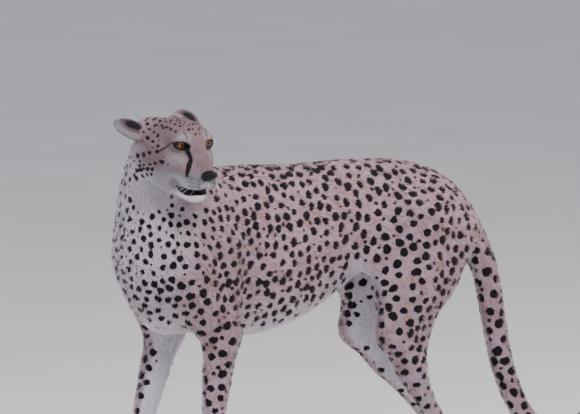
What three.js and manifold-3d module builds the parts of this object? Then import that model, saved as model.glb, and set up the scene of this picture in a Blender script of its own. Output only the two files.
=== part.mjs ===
// A life-size standing cheetah with its head turned to its left.
// Millimetres. The animal stands along Y: its breast faces -Y, its left side is +X, +Z is up.
//
// The coat's outer surface is one smooth field of flesh, blended from tapered limbs and
// egg-shaped muscles. The field is meshed a region at a time, thinned to few triangles, and
// parted with thin plane cuts into the parts that a person would name.
import * as THREE from "three";
import { mergeVertices } from "three/addons/utils/BufferGeometryUtils.js";
import Module from "manifold-3d";

const wasm = await Module();
wasm.setup();

// ---------------------------------------------------------------- driving sizes
const GAP = 0.35; // between two touching parts
const ORIGIN = [40.6, 158.1, 0]; // centre of the animal's box on the floor, in body coordinates

// Spine, from the withers to the root of the tail: the line that the back follows.
const SPINE = [
  [0, -270, 742],
  [0, -190, 752],
  [0, -30, 744],
  [0, 165, 744],
  [0, 300, 720],
  [0, 420, 650],
];
const SPINE_THICK = [36, 32, 33, 36, 42, 32];

// Neck, from between the shoulders to the back of the skull.
const NECK_LINE = [
  [-6, -300, 642],
  [0, -322, 736],
  [34, -350, 812],
];
const NECK_THICK = [110, 85, 63];

// Head: the point midway between the eyeballs, and the way that the face looks.
const EYES = [142, -351, 857];
const HEAD_YAW = 2; // degrees from square to the body, back towards the chest
const HEAD_PITCH = 6; // degrees that the nose points down

// Legs: joint centres. The left hind foot steps forward and the right fore foot leads.
const LEGS = {
  left_fore: {
    side: 1,
    shoulder: [68, -318, 590],
    elbow: [78, -232, 456],
    wrist: [78, -262, 182],
    foot: [80, -292, 0],
    heading: 4,
  },
  right_fore: {
    side: -1,
    shoulder: [-68, -322, 590],
    elbow: [-78, -258, 452],
    wrist: [-76, -340, 186],
    foot: [-76, -380, 0],
    heading: -3,
  },
  left_hind: {
    side: 1,
    hip: [60, 296, 640],
    knee: [88, 196, 440],
    hock: [80, 318, 226],
    foot: [84, 262, 0],
    heading: 5,
  },
  right_hind: {
    side: -1,
    hip: [-60, 302, 640],
    knee: [-88, 240, 430],
    hock: [-78, 412, 238],
    foot: [-80, 368, 0],
    heading: -5,
  },
};

// Tail: its centre line and half-thickness.
const TAIL_LINE = [
  [0, 388, 672],
  [0, 450, 618],
  [4, 492, 540],
  [8, 512, 440],
  [12, 535, 335],
  [18, 580, 240],
  [24, 648, 190],
  [28, 715, 196],
  [30, 760, 240],
];
const TAIL_THICK = [40, 34, 29, 27, 25, 23, 23, 24, 18];

// ---------------------------------------------------------------- shapes of flesh
const sub = (a, b) => a.map((v, i) => v - b[i]);
const add = (a, b) => a.map((v, i) => v + b[i]);
const scale = (a, s) => a.map((v) => v * s);
const mix = (a, b, t) => a.map((v, i) => v + (b[i] - v) * t);
const rad = THREE.MathUtils.degToRad;
const dot = (a, b) => a[0] * b[0] + a[1] * b[1] + a[2] * b[2];
const cross = (a, b) => [a[1] * b[2] - a[2] * b[1], a[2] * b[0] - a[0] * b[2], a[0] * b[1] - a[1] * b[0]];
const normalOf = (a, b, c) => cross(sub(b, a), sub(c, a));

// Each shape is a signed distance with a blend radius and a ball that holds it.
function taper(blend, a, b, ra, rb) {
  const axis = sub(b, a);
  const length2 = axis[0] ** 2 + axis[1] ** 2 + axis[2] ** 2;
  const length = Math.sqrt(length2);
  const distance = (x, y, z) => {
    const px = x - a[0];
    const py = y - a[1];
    const pz = z - a[2];
    const along = (px * axis[0] + py * axis[1] + pz * axis[2]) / length2;
    const t = Math.min(1, Math.max(0, along));
    const dx = px - axis[0] * t;
    const dy = py - axis[1] * t;
    const dz = pz - axis[2] * t;
    return Math.sqrt(dx * dx + dy * dy + dz * dz) - ra - (rb - ra) * t;
  };
  return { blend, distance, centre: mix(a, b, 0.5), reach: length / 2 + Math.max(ra, rb) };
}

// An egg: an ellipsoid, turned about X by pitch, Z by yaw and Y by roll, in degrees.
function egg(blend, centre, radii, pitch = 0, yaw = 0, roll = 0) {
  const turn = new THREE.Matrix4()
    .makeRotationFromEuler(new THREE.Euler(rad(pitch), rad(roll), rad(yaw), "ZXY"))
    .transpose();
  const m = turn.elements;
  const [rx, ry, rz] = radii;
  const deepest = -Math.min(rx, ry, rz);
  const distance = (x, y, z) => {
    const px = x - centre[0];
    const py = y - centre[1];
    const pz = z - centre[2];
    const qx = (m[0] * px + m[4] * py + m[8] * pz) / rx;
    const qy = (m[1] * px + m[5] * py + m[9] * pz) / ry;
    const qz = (m[2] * px + m[6] * py + m[10] * pz) / rz;
    const near = Math.sqrt(qx * qx + qy * qy + qz * qz);
    const slope = Math.sqrt((qx / rx) ** 2 + (qy / ry) ** 2 + (qz / rz) ** 2);
    return slope > 1e-9 ? Math.max((near * (near - 1)) / slope, deepest) : deepest;
  };
  return { blend, distance, centre, reach: Math.max(rx, ry, rz) };
}

// One limb along a smooth curve through some points, with a half-thickness at each.
function limb(blend, points, thick) {
  const steps = (points.length - 1) * 6;
  const curve = (list) => new THREE.CatmullRomCurve3(list.map((p) => new THREE.Vector3(...p)), false, "catmullrom");
  const line = curve(points).getPoints(steps).map((p) => p.toArray());
  const half = curve(thick.map((t) => [t, 0, 0])).getPoints(steps).map((p) => p.x);
  const pieces = line.slice(1).map((p, i) => taper(0, line[i], p, half[i], half[i + 1]));
  const centre = mix(line[0], line[steps], 0.5);
  const reach = Math.max(...line.map((p, i) => Math.hypot(...sub(p, centre)) + half[i]));
  const distance = (x, y, z) => {
    let d = 1e9;
    for (const piece of pieces) d = Math.min(d, piece.distance(x, y, z));
    return d;
  };
  return { blend, distance, centre, reach };
}

// A shape that is carved away instead of added.
const hollow = (shape) => ({ ...shape, carves: true });

// The same shape on both sides of a plane of symmetry at x = 0.
const bothSides = (make) => [make(1), make(-1)];

// A field of flesh: the smooth union of its shapes, less the carved ones.
function field(shapes) {
  return (x, y, z) => {
    let d = 1e9;
    for (const s of shapes) {
      const [cx, cy, cz] = s.centre;
      const away = Math.sqrt((x - cx) ** 2 + (y - cy) ** 2 + (z - cz) ** 2) - s.reach;
      if (s.carves ? away > s.blend - d : away > d + s.blend) continue;
      let e = Math.max(s.distance(x, y, z), away);
      if (s.carves) e = -e;
      const h = Math.max(s.blend - Math.abs(d - e), 0) / Math.max(s.blend, 1e-6);
      const round = (h * h * s.blend) / 4;
      d = s.carves ? Math.max(d, e) + round : Math.min(d, e) - round;
    }
    return d;
  };
}

function blended(a, b, blend) {
  const h = Math.max(blend - Math.abs(a - b), 0) / blend;
  return Math.min(a, b) - (h * h * blend) / 4;
}

// ---------------------------------------------------------------- trunk, neck and tail
const TRUNK = [
  egg(0, [0, -110, 620], [96, 250, 156]), // rib cage
  egg(50, [0, 120, 664], [84, 215, 104]), // belly, tucked up
  egg(50, [0, 290, 666], [82, 136, 88]), // hips
  limb(46, SPINE, SPINE_THICK),
  egg(50, [0, -308, 582], [82, 88, 114]), // breast
  limb(46, [[0, -296, 520], [0, -130, 492], [0, 20, 524], [0, 130, 580]], [40, 42, 36, 28]), // underline
  ...bothSides((s) => egg(34, [s * 62, -254, 656], [32, 58, 112], -16, 0, -s * 10)), // shoulder blade
  ...bothSides((s) => taper(40, [s * 48, 320, 676], [s * 44, 408, 632], 50, 34)), // buttock
  ...bothSides((s) => taper(36, [s * 62, 150, 590], [s * 80, 200, 516], 22, 18)), // flank fold
];

const NECK = [
  limb(50, NECK_LINE, NECK_THICK),
  taper(40, [0, -225, 752], [22, -320, 816], 34, 42), // nape
];

const TAIL = [limb(22, TAIL_LINE, TAIL_THICK)];

// ---------------------------------------------------------------- legs
function footPlace(leg, across, ahead, up) {
  const turn = rad(leg.heading);
  const out = leg.side * across;
  return [
    leg.foot[0] + out * Math.cos(turn) + ahead * Math.sin(turn),
    leg.foot[1] + out * Math.sin(turn) - ahead * Math.cos(turn),
    leg.foot[2] + up,
  ];
}

// Toes spread like a fan: how far across, ahead and how long each is.
const TOES = [
  { across: -23, ahead: 16 },
  { across: -8.5, ahead: 27 },
  { across: 8.5, ahead: 27 },
  { across: 23, ahead: 15 },
];

function paw(leg) {
  return [
    taper(12, footPlace(leg, 0, -14, 42), footPlace(leg, 0, 10, 28), 22, 22),
    egg(10, footPlace(leg, 0, -12, 17), [23, 20, 20]), // heel pad
    ...TOES.map((t) =>
      limb(
        6,
        [
          footPlace(leg, t.across * 0.7, t.ahead - 18, 28),
          footPlace(leg, t.across * 0.95, t.ahead + 4, 23),
          footPlace(leg, t.across, t.ahead + 20, 9),
        ],
        [14.5, 14.5, 11.5],
      ),
    ),
  ];
}

function foreleg(leg) {
  const { side: s, shoulder, elbow, wrist } = leg;
  return [
    limb(34, [add(shoulder, [0, 8, 0]), mix(shoulder, elbow, 0.55), elbow], [46, 43, 36]), // upper arm
    taper(30, add(shoulder, [-s * 4, 100, 46]), add(elbow, [-s * 4, 16, 20]), 38, 28), // triceps
    limb(18, [add(elbow, [0, 2, 4]), mix(elbow, wrist, 0.3), mix(elbow, wrist, 0.65), wrist], [37, 31, 23, 20]),
    taper(16, add(elbow, [0, 28, 12]), mix(elbow, wrist, 0.35), 16, 14), // point of the elbow
    egg(16, add(wrist, [0, -3, 2]), [19, 18, 28]), // wrist
    limb(12, [wrist, mix(wrist, footPlace(leg, 0, -14, 42), 0.5), footPlace(leg, 0, -14, 42)], [20, 19, 21]),
    ...paw(leg),
  ];
}

function hindleg(leg) {
  const { side: s, hip, knee, hock } = leg;
  const pastern = footPlace(leg, 0, -14, 42);
  return [
    egg(50, add(mix(hip, knee, 0.3), [0, 8, 0]), [48, 88, 122], 24, 0, s * 6), // thigh
    limb(34, [mix(hip, knee, 0.45), mix(hip, knee, 0.75), knee], [66, 54, 38]),
    limb(36, [add(hip, [-s * 6, 76, -40]), add(mix(hip, knee, 0.72), [0, 52, 0]), mix(knee, hock, 0.4)], [42, 34, 22]),
    egg(20, add(knee, [s * 2, -6, 4]), [26, 26, 36]), // kneecap
    limb(20, [knee, mix(knee, hock, 0.33), mix(knee, hock, 0.7), hock], [36, 33, 21, 18]), // shank
    taper(10, mix(knee, hock, 0.5), add(hock, [0, 16, 12]), 14, 10), // heel cord
    egg(12, add(hock, [0, 5, 0]), [18, 21, 26]), // hock
    limb(12, [add(hock, [0, 0, -6]), mix(hock, pastern, 0.5), pastern], [19, 17, 21]),
    ...paw(leg),
  ];
}

const legShapes = Object.values(LEGS).map((leg) => (leg.hip ? hindleg(leg) : foreleg(leg)));

// ---------------------------------------------------------------- head
// Head coordinates: x to the animal's right, y forward, z up, from between the eyeballs.
const headFrame = new THREE.Matrix4()
  .makeTranslation(...EYES)
  .multiply(new THREE.Matrix4().makeRotationZ(rad(-90 - HEAD_YAW)))
  .multiply(new THREE.Matrix4().makeRotationX(rad(-HEAD_PITCH)));

const SKULL = [
  egg(0, [0, -46, -3], [58, 64, 45]), // brain case
  egg(18, [0, -86, -8], [52, 42, 38]), // back of the head
  ...bothSides((s) => egg(18, [s * 30, -94, 12], [28, 30, 25])), // crown, between the ears
  egg(22, [0, -8, 8], [42, 32, 28]), // forehead
  ...bothSides((s) => egg(10, [s * 30, 6, 12], [17, 13, 8], 0, -s * 12, 0)), // brow
  ...bothSides((s) => taper(14, [s * 49, -42, -24], [s * 34, -4, -22], 19, 12)), // cheekbone
  ...bothSides((s) => taper(14, [s * 28, 0, -38], [s * 15, 42, -54], 19, 15)), // side of the face
  taper(16, [0, 4, 0], [0, 56, -40], 22, 15), // bridge of the nose
  egg(14, [0, 42, -60], [25, 25, 20]), // muzzle
  ...bothSides((s) => egg(9, [s * 14, 47, -71], [16, 19, 14])), // whisker pad
  ...bothSides((s) => taper(14, [s * 33, -2, -66], [s * 22, 34, -74], 13, 11)), // upper lip
  egg(8, [0, 64, -52], [14, 13, 11]), // nose
  egg(4, [0, 74, -49], [15.5, 9.5, 7]),
  ...bothSides((s) => egg(3, [s * 11, 74, -53], [5.5, 8, 6.5])), // wings of the nostrils
  ...bothSides((s) => egg(18, [s * 46, -34, -44], [22, 38, 36])), // cheek
  ...bothSides((s) => egg(20, [s * 48, -74, -30], [26, 34, 44])), // ruff behind the cheek
  egg(20, [0, -36, -66], [46, 44, 34]), // throat
];

const JAW = [
  ...bothSides((s) => taper(14, [s * 40, -36, -70], [s * 11, 26, -98], 21, 12)), // jawbone
  egg(12, [0, 30, -99], [16, 17, 12]), // chin
  egg(14, [0, 0, -92], [24, 34, 16]), // floor of the mouth
];

// The bare leather of the nose is what this egg holds.
const NOSE = { centre: [0, 73, -53], radii: [16, 13, 11] };

// Eyes: where each ball sits, and the almond that its lids leave open.
const EYE = { out: 32.5, ahead: 1, radius: 15.5, lid: 2.2, almond: [14, 16, 6.2], tilt: 10 };
const LIDS = [
  ...bothSides((s) => hollow(egg(8, [s * 35, 18, -1], [13, 12, 9]))),
  ...bothSides((s) => egg(3, [s * EYE.out, EYE.ahead, 0], Array(3).fill(EYE.radius + EYE.lid))),
  ...bothSides((s) => hollow(egg(1.5, [s * (EYE.out - 1), 20, -0.5], EYE.almond, 0, -s * 14, -s * EYE.tilt))),
];

// The mouth is a shallow slit around a core of gum and tongue.
const MOUTH = [hollow(egg(4, [0, 40, -87], [36, 44, 6], -8)), egg(3, [0, 14, -84], [17, 30, 14])];

// Ears: base, the way each points, and the way its furred back faces. Both are turned back.
const EARS = {
  right_ear: { base: [56, -82, 6], along: [0.85, -0.42, 0.31], back: [0.0, 0.42, 0.9] },
  left_ear: { base: [-46, -88, 10], along: [-0.58, -0.73, 0.36], back: [-0.2, 0.45, 0.9] },
};

// Shapes given in some part's own coordinates, as one distance in the coordinates around it.
function placed(shapes, frame) {
  const inner = field(shapes);
  const m = frame.clone().invert().elements;
  return (x, y, z) =>
    inner(
      m[0] * x + m[4] * y + m[8] * z + m[12],
      m[1] * x + m[5] * y + m[9] * z + m[13],
      m[2] * x + m[6] * y + m[10] * z + m[14],
    );
}

function earFrame({ base, along, back }) {
  const u = new THREE.Vector3(...along).normalize();
  const n = new THREE.Vector3(...back).projectOnPlane(u).normalize();
  return new THREE.Matrix4().makeBasis(new THREE.Vector3().crossVectors(u, n), u, n).setPosition(...base);
}

// Each ear is a cup: an egg with another carved out of its front.
const EAR_CUP = [
  egg(0, [0, 24, 0], [31, 40, 12]),
  hollow(egg(5, [0, 29, -10], [25, 35, 14.5])),
  egg(12, [0, -6, -2], [22, 18, 14]),
];
const ears = Object.values(EARS).map((ear) => placed(EAR_CUP, earFrame(ear)));

const skullAndJaw = field([...SKULL, ...JAW, ...LIDS, ...MOUTH]);
const headAlone = (x, y, z) => ears.reduce((d, ear) => blended(d, ear(x, y, z), 8), skullAndJaw(x, y, z));
const headField = placed([{ blend: 0, centre: [0, -30, -30], reach: 150, distance: headAlone }], headFrame);
const bodyOnly = field([...TRUNK, ...NECK, ...legShapes.flat(), ...TAIL]);

const coat = (x, y, z) => blended(bodyOnly(x, y, z), headField(x, y, z), 26);

// ---------------------------------------------------------------- meshing
const CORNERS = [
  [0, 0, 0],
  [1, 0, 0],
  [0, 1, 0],
  [1, 1, 0],
  [0, 0, 1],
  [1, 0, 1],
  [0, 1, 1],
  [1, 1, 1],
];
const FACES = [
  [1, 0, 0],
  [0, 1, 0],
  [0, 0, 1],
];

// The cells near the surface, found by halving cubes that may hold a piece of it.
function cellsOf(distance, place, count) {
  const cells = [];
  const visit = (i, j, k, size) => {
    if (i >= count[0] || j >= count[1] || k >= count[2]) return;
    const middle = place(i + size / 2, j + size / 2, k + size / 2);
    const reach = Math.hypot(...sub(middle, place(i, j, k)));
    if (Math.abs(distance(...middle)) > reach * 1.5) return;
    if (size === 1) return void cells.push([i, j, k]);
    const half = size / 2;
    for (const [a, b, c] of CORNERS) visit(i + a * half, j + b * half, k + c * half, half);
  };
  const block = 8;
  for (let k = 0; k < count[2]; k += block)
    for (let j = 0; j < count[1]; j += block)
      for (let i = 0; i < count[0]; i += block) visit(i, j, k, block);
  return cells;
}

// One point in each cell that the surface passes, joined across the crossed grid edges.
function meshOf(distance, low, high, cell) {
  const count = [0, 1, 2].map((i) => Math.ceil((high[i] - low[i]) / cell) + 2);
  const place = (i, j, k) => [low[0] + (i - 1) * cell, low[1] + (j - 1) * cell, low[2] + (k - 1) * cell];
  const steps = [1, count[0] + 1, (count[0] + 1) * (count[1] + 1)];
  const idOf = (i, j, k) => i + steps[1] * j + steps[2] * k;
  const values = new Map();
  const value = (i, j, k) => {
    const id = idOf(i, j, k);
    if (!values.has(id)) values.set(id, distance(...place(i, j, k)));
    return values.get(id);
  };
  const settled = (p) => {
    const e = cell / 20;
    const d = distance(...p);
    const n = [0, 1, 2].map((i) => (distance(...p.map((v, q) => (q === i ? v + e : v))) - d) / e);
    const size = Math.max(dot(n, n), 0.25);
    return p.map((v, i) => v - Math.max(-cell / 2, Math.min(cell / 2, (d * n[i]) / size)));
  };
  // A cell face whose corners are inside and outside by turns would pinch the surface, so
  // its outer corner that lies nearest the surface is taken in.
  const near = cellsOf(distance, place, count);
  const opened = ([i, j, k]) => {
    let found = false;
    for (const [a, b, c] of FACES) {
      const at = CORNERS.filter(([p, q, r]) => !(a * p + b * q + c * r)).map((p) => add([i, j, k], p));
      const d = at.map((p) => value(...p));
      if (d[0] < 0 !== d[3] < 0 || d[1] < 0 !== d[2] < 0 || d[0] < 0 === d[1] < 0) continue;
      const outer = Math.min(...d.filter((v) => v >= 0));
      values.set(idOf(...at[d.indexOf(outer)]), -cell / 20);
      found = true;
    }
    return found;
  };
  while (near.filter(opened).length);
  const points = [];
  const cells = new Map();
  for (const [i, j, k] of near) {
    const corner = CORNERS.map(([a, b, c]) => value(i + a, j + b, k + c));
    if (corner.every((v) => v < 0) || corner.every((v) => v >= 0)) continue;
    const hits = [];
    for (let p = 0; p < 8; p++)
      for (const bit of [1, 2, 4]) {
        const q = p | bit;
        if (q === p || corner[p] < 0 === corner[q] < 0) continue;
        hits.push(mix(CORNERS[p], CORNERS[q], corner[p] / (corner[p] - corner[q])));
      }
    const middle = scale(hits.reduce(add), 1 / hits.length);
    cells.set(idOf(i, j, k), { vertex: points.length, corner });
    points.push(settled(place(i + middle[0], j + middle[1], k + middle[2])));
  }
  const faces = [];
  for (const [id, { corner }] of cells)
    for (let axis = 0; axis < 3; axis++) {
      if (corner[0] < 0 === corner[1 << axis] < 0) continue;
      const [u, v] = [steps[(axis + 1) % 3], steps[(axis + 2) % 3]];
      const ring = [id, id - u, id - u - v, id - v].map((at) => cells.get(at)?.vertex);
      if (corner[0] >= 0) ring.reverse();
      const [p, q, r, t] = ring.map((at) => points[at]);
      if (Math.hypot(...sub(p, r)) > Math.hypot(...sub(q, t))) ring.push(ring.shift());
      faces.push([ring[0], ring[1], ring[2]], [ring[0], ring[2], ring[3]]);
    }
  return { points, faces };
}

// ---------------------------------------------------------------- thinning
// Twice a triangle's area over its longest side squared: near nothing for a sliver.
function fatness([a, b, c]) {
  const longest = Math.max(...[sub(a, b), sub(b, c), sub(c, a)].map((side) => dot(side, side)));
  return Math.hypot(...normalOf(a, b, c)) / (longest + 1e-12);
}

// Edges are folded away, cheapest first, where the surface moves least. Detail is kept
// longest where `worth` is large.
function thinned({ points, faces }, target, worth) {
  const sides = points.map(() => new Set());
  faces.forEach((f, i) => f.forEach((v) => sides[v].add(i)));
  const bowls = points.map(() => new Float64Array(10));
  const facing = [];
  for (const f of faces) {
    const [a, b, c] = f.map((v) => points[v]);
    const n = normalOf(a, b, c);
    const area = Math.hypot(...n) || 1e-12;
    const [x, y, z] = scale(n, 1 / area);
    facing.push(fatness([a, b, c]) > 0.05 ? [x, y, z] : [0, 0, 0]);
    const w = -dot([x, y, z], a);
    const plane = [x * x, x * y, x * z, x * w, y * y, y * z, y * w, z * z, z * w, w * w];
    for (const v of f) for (let i = 0; i < 10; i++) bowls[v][i] += plane[i] * area;
  }
  const depth = (q, [x, y, z]) =>
    q[0] * x * x + q[4] * y * y + q[7] * z * z + q[9] + 2 * (q[1] * x * y + q[2] * x * z + q[5] * y * z) +
    2 * (q[3] * x + q[6] * y + q[8] * z);
  const lowest = (q, near, far) => {
    const c0 = q[4] * q[7] - q[5] * q[5];
    const c1 = q[2] * q[5] - q[1] * q[7];
    const c2 = q[1] * q[5] - q[2] * q[4];
    const det = q[0] * c0 + q[1] * c1 + q[2] * c2;
    const size = (q[0] + q[4] + q[7]) / 3;
    if (Math.abs(det) < 1e-3 * size ** 3) return near;
    const c3 = q[0] * q[7] - q[2] * q[2];
    const c4 = q[1] * q[2] - q[0] * q[5];
    const c5 = q[0] * q[4] - q[1] * q[1];
    const at = [
      -(c0 * q[3] + c1 * q[6] + c2 * q[8]) / det,
      -(c1 * q[3] + c3 * q[6] + c4 * q[8]) / det,
      -(c2 * q[3] + c4 * q[6] + c5 * q[8]) / det,
    ];
    return Math.hypot(at[0] - near[0], at[1] - near[1], at[2] - near[2]) < far ? at : near;
  };
  const heap = [];
  const push = (entry) => {
    let i = heap.push(entry) - 1;
    while (i && heap[(i - 1) >> 1].cost > entry.cost) {
      heap[i] = heap[(i - 1) >> 1];
      i = (i - 1) >> 1;
    }
    heap[i] = entry;
  };
  const pop = () => {
    const top = heap[0];
    const last = heap.pop();
    if (!heap.length) return top;
    let i = 0;
    for (let c = 1; c < heap.length; c = 2 * i + 1) {
      if (c + 1 < heap.length && heap[c + 1].cost < heap[c].cost) c++;
      if (heap[c].cost >= last.cost) break;
      heap[i] = heap[c];
      i = c;
    }
    heap[i] = last;
    return top;
  };
  const stamp = new Int32Array(points.length);
  const total = new Float64Array(10);
  const offer = (a, b) => {
    for (let i = 0; i < 10; i++) total[i] = bowls[a][i] + bowls[b][i];
    const length = Math.hypot(...sub(points[a], points[b]));
    const at = lowest(total, mix(points[a], points[b], 0.5), length);
    const cost = (Math.max(depth(total, at), 0) + 1e-3 * length ** 2) * worth(at);
    push({ cost, a, b, at, markA: stamp[a], markB: stamp[b] });
  };
  const around = (v) => {
    const ring = new Set();
    for (const f of sides[v]) for (const u of faces[f]) if (u !== v) ring.add(u);
    return ring;
  };
  // Whether moving v would turn a face from its first way, or draw it out into a sliver.
  const spoils = (v, other, at) => {
    for (const f of sides[v]) {
      if (faces[f].includes(other)) continue;
      const fresh = faces[f].map((u) => (u === v ? at : points[u]));
      const n = normalOf(...fresh);
      const known = facing[f].some((v) => v);
      if (known && dot(facing[f], n) < 0.4 * Math.hypot(...n)) return true;
      if (fatness(fresh) < Math.min(0.15, 0.9 * fatness(faces[f].map((u) => points[u])))) return true;
    }
    return false;
  };
  points.forEach((_, v) => around(v).forEach((u) => u > v && offer(v, u)));
  let count = faces.length;
  while (count > target && heap.length) {
    const { a, b, at, markA, markB } = pop();
    if (markA !== stamp[a] || markB !== stamp[b] || !sides[b].size) continue;
    const ring = around(b);
    let shared = 0;
    for (const u of around(a)) if (ring.has(u)) shared++;
    if (!ring.has(a) || shared !== 2) continue;
    const apart = Math.hypot(...sub(points[a], points[b])) > 0.1;
    if (apart && (spoils(a, b, at) || spoils(b, a, at))) continue;
    for (const f of [...sides[b]]) {
      if (faces[f].includes(a)) {
        for (const u of faces[f]) sides[u].delete(f);
        faces[f] = undefined;
        count--;
      } else {
        faces[f] = faces[f].map((u) => (u === b ? a : u));
        sides[a].add(f);
      }
    }
    sides[b].clear();
    points[a] = at;
    for (let i = 0; i < 10; i++) bowls[a][i] += bowls[b][i];
    stamp[a]++;
    stamp[b]++;
    for (const u of around(a)) offer(a, u);
  }
  const kept = faces.filter(Boolean);
  const used = [...new Set(kept.flat())];
  const order = new Map(used.map((v, i) => [v, i]));
  return { points: used.map((v) => points[v]), faces: kept.map((f) => f.map((v) => order.get(v))) };
}

// ---------------------------------------------------------------- solids and cuts
function solidOf({ points, faces }) {
  const mesh = new wasm.Mesh({
    numProp: 3,
    vertProperties: new Float32Array(points.flat()),
    triVerts: new Uint32Array(faces.flat()),
  });
  return new wasm.Manifold(mesh);
}

function solidFrom(geometry) {
  geometry.deleteAttribute("normal");
  geometry.deleteAttribute("uv");
  const whole = mergeVertices(geometry, 1e-4);
  const list = Array.from(whole.attributes.position.array);
  const corners = Array.from(whole.index.array);
  const triples = (values) => values.flatMap((_, i) => (i % 3 ? [] : [values.slice(i, i + 3)]));
  return solidOf({ points: triples(list), faces: triples(corners) });
}

// A block between two corners given in some frame; `grow` widens it all round.
function block(frame, low, high, grow = 0) {
  const size = high.map((h, i) => h - low[i] + 2 * grow);
  const geometry = new THREE.BoxGeometry(...size).translate(...mix(low, high, 0.5)).applyMatrix4(frame);
  return solidFrom(geometry);
}

// A frame at a point, turned about one axis so that its z axis leans over.
function leaning(at, axis, degrees) {
  const turn = new THREE.Matrix4()[`makeRotation${axis}`](rad(degrees));
  return new THREE.Matrix4().makeTranslation(...at).multiply(turn);
}

// ---------------------------------------------------------------- regions
// Where the body is parted. Each frame's z axis looks along the part that is cut off.
const HEAD_CUT = leaning([62, -350, 785], "Y", 35);
const NECK_CUT = leaning([0, -296, 702], "X", 40);
const TAIL_CUTS = [
  leaning([0, 456, 612], "X", -90),
  leaning([8, 512, 440], "X", -167),
  leaning([19, 601, 222], "X", -127),
];
const ELBOW_HEIGHT = 438;
const KNEE_HEIGHT = 398;
const CARPAL_HEIGHT = 146;
const HOCK_HEIGHT = { left: 258, right: 272 };
const THIGH_CUT = leaning([0, 150, 502], "X", 17);
const MOUTH_CUT = headFrame.clone().multiply(leaning([0, 40, -87], "X", -8));
const SPARE = 9; // flesh meshed beyond a cut, then trimmed away

// How far a point lies along a frame's z axis.
function beyond(frame) {
  const m = frame.clone().invert().elements;
  return (x, y, z) => m[2] * x + m[6] * y + m[10] * z + m[14];
}
const aboveHeadCut = beyond(HEAD_CUT);
const behindTailCut = beyond(TAIL_CUTS[0]);

// One region of the coat: what lies within a box and short of `stop`.
function region({ low, high, cell, triangles, stop = () => -1e9, worth = () => 1 }) {
  const distance = (x, y, z) => {
    const box = Math.max(low[0] - x, x - high[0], low[1] - y, y - high[1], low[2] - z, z - high[2]);
    return Math.max(coat(x, y, z), box, stop(x, y, z));
  };
  return solidOf(thinned(meshOf(distance, low, high, cell), triangles, worth));
}

const headRegion = () =>
  region({
    low: [-60, -480, 690],
    high: [250, -215, 925],
    cell: 3.5,
    triangles: 1480,
    stop: (...p) => -aboveHeadCut(...p) - SPARE,
    worth: ([x]) => (x > 105 ? 5 : 1),
  });

const bodyRegion = () =>
  region({
    low: [-150, -460, 380],
    high: [150, 520, 900],
    cell: 8,
    triangles: 2020,
    stop: (x, y, z) =>
      Math.max(
        aboveHeadCut(x, y, z) - SPARE,
        behindTailCut(x, y, z) - SPARE,
        (y < 0 ? ELBOW_HEIGHT : KNEE_HEIGHT) - SPARE - z,
      ),
  });

const tailRegion = () =>
  region({
    low: [-45, 440, 150],
    high: [75, 800, 660],
    cell: 6,
    triangles: 370,
    stop: (...p) => -behindTailCut(...p) - SPARE,
  });

const legRegion = (side, fore) =>
  region({
    low: [side > 0 ? 4 : -140, fore ? -460 : 150, -7],
    high: [side > 0 ? 140 : -4, fore ? -150 : 462, (fore ? ELBOW_HEIGHT : KNEE_HEIGHT) + SPARE],
    cell: 5,
    triangles: 370,
    worth: ([, , z]) => (z < 60 ? 3 : 1),
  });

// ---------------------------------------------------------------- parting
const WORLD = new THREE.Matrix4();
const solids = {};

// Takes the flesh inside a block as one part, and returns the rest, a gap away from it.
function part(name, whole, frame, low, high) {
  solids[name] = whole.intersect(block(frame, low, high, 0));
  return whole.subtract(block(frame, low, high, GAP));
}

function ballSolid(centre, radius) {
  return solidFrom(new THREE.SphereGeometry(radius, 12, 9).rotateX(Math.PI / 2).translate(...centre));
}

function noseBulb(grow) {
  const [rx, ry, rz] = NOSE.radii.map((r) => r + grow);
  const bulb = new THREE.SphereGeometry(1, 10, 6).scale(rx, ry, rz).translate(...NOSE.centre);
  return solidFrom(bulb.applyMatrix4(headFrame));
}

function makeHead() {
  let rest = headRegion().intersect(block(HEAD_CUT, [-200, -200, GAP], [200, 200, 300]));
  for (const [name, ear] of Object.entries(EARS)) {
    const frame = headFrame.clone().multiply(earFrame(ear));
    rest = part(name, rest, frame, [-40, 12, -18], [40, 80, 30]);
  }
  for (const [name, side] of [["left_eye", -1], ["right_eye", 1]]) {
    const centre = new THREE.Vector3(side * EYE.out, EYE.ahead, 0).applyMatrix4(headFrame).toArray();
    solids[name] = ballSolid(centre, EYE.radius);
    rest = rest.subtract(ballSolid(centre, EYE.radius + GAP));
  }
  solids.nose = rest.intersect(noseBulb(0));
  rest = rest.subtract(noseBulb(GAP));
  solids.head = part("lower_jaw", rest, MOUTH_CUT, [-60, -56, -70], [60, 60, 0]);
}

function makeTail() {
  let rest = tailRegion().intersect(block(TAIL_CUTS[0], [-60, -100, GAP], [80, 480, 400]));
  rest = part("tail_tip", rest, TAIL_CUTS[2], [-60, -160, 0], [60, 70, 250]);
  solids.tail_root = part("tail_middle", rest, TAIL_CUTS[1], [-60, -120, 0], [60, 90, 320]);
}

function makeBody() {
  let rest = bodyRegion();
  rest = rest.subtract(block(HEAD_CUT, [-200, -200, 0], [200, 200, 300]));
  rest = rest.subtract(block(TAIL_CUTS[0], [-60, -100, 0], [80, 480, 400]));
  rest = rest.subtract(block(WORLD, [-160, -470, 300], [160, -100, ELBOW_HEIGHT + GAP]));
  rest = rest.subtract(block(WORLD, [-160, 100, 300], [160, 470, KNEE_HEIGHT + GAP]));
  rest = part("neck", rest, NECK_CUT, [-160, -220, 0], [160, 220, 320]);
  rest = part("left_thigh", rest, THIGH_CUT, [GAP / 2, -50, -200], [160, 287, 0]);
  solids.trunk = part("right_thigh", rest, THIGH_CUT, [-160, -50, -200], [-GAP / 2, 287, 0]);
}

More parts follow.
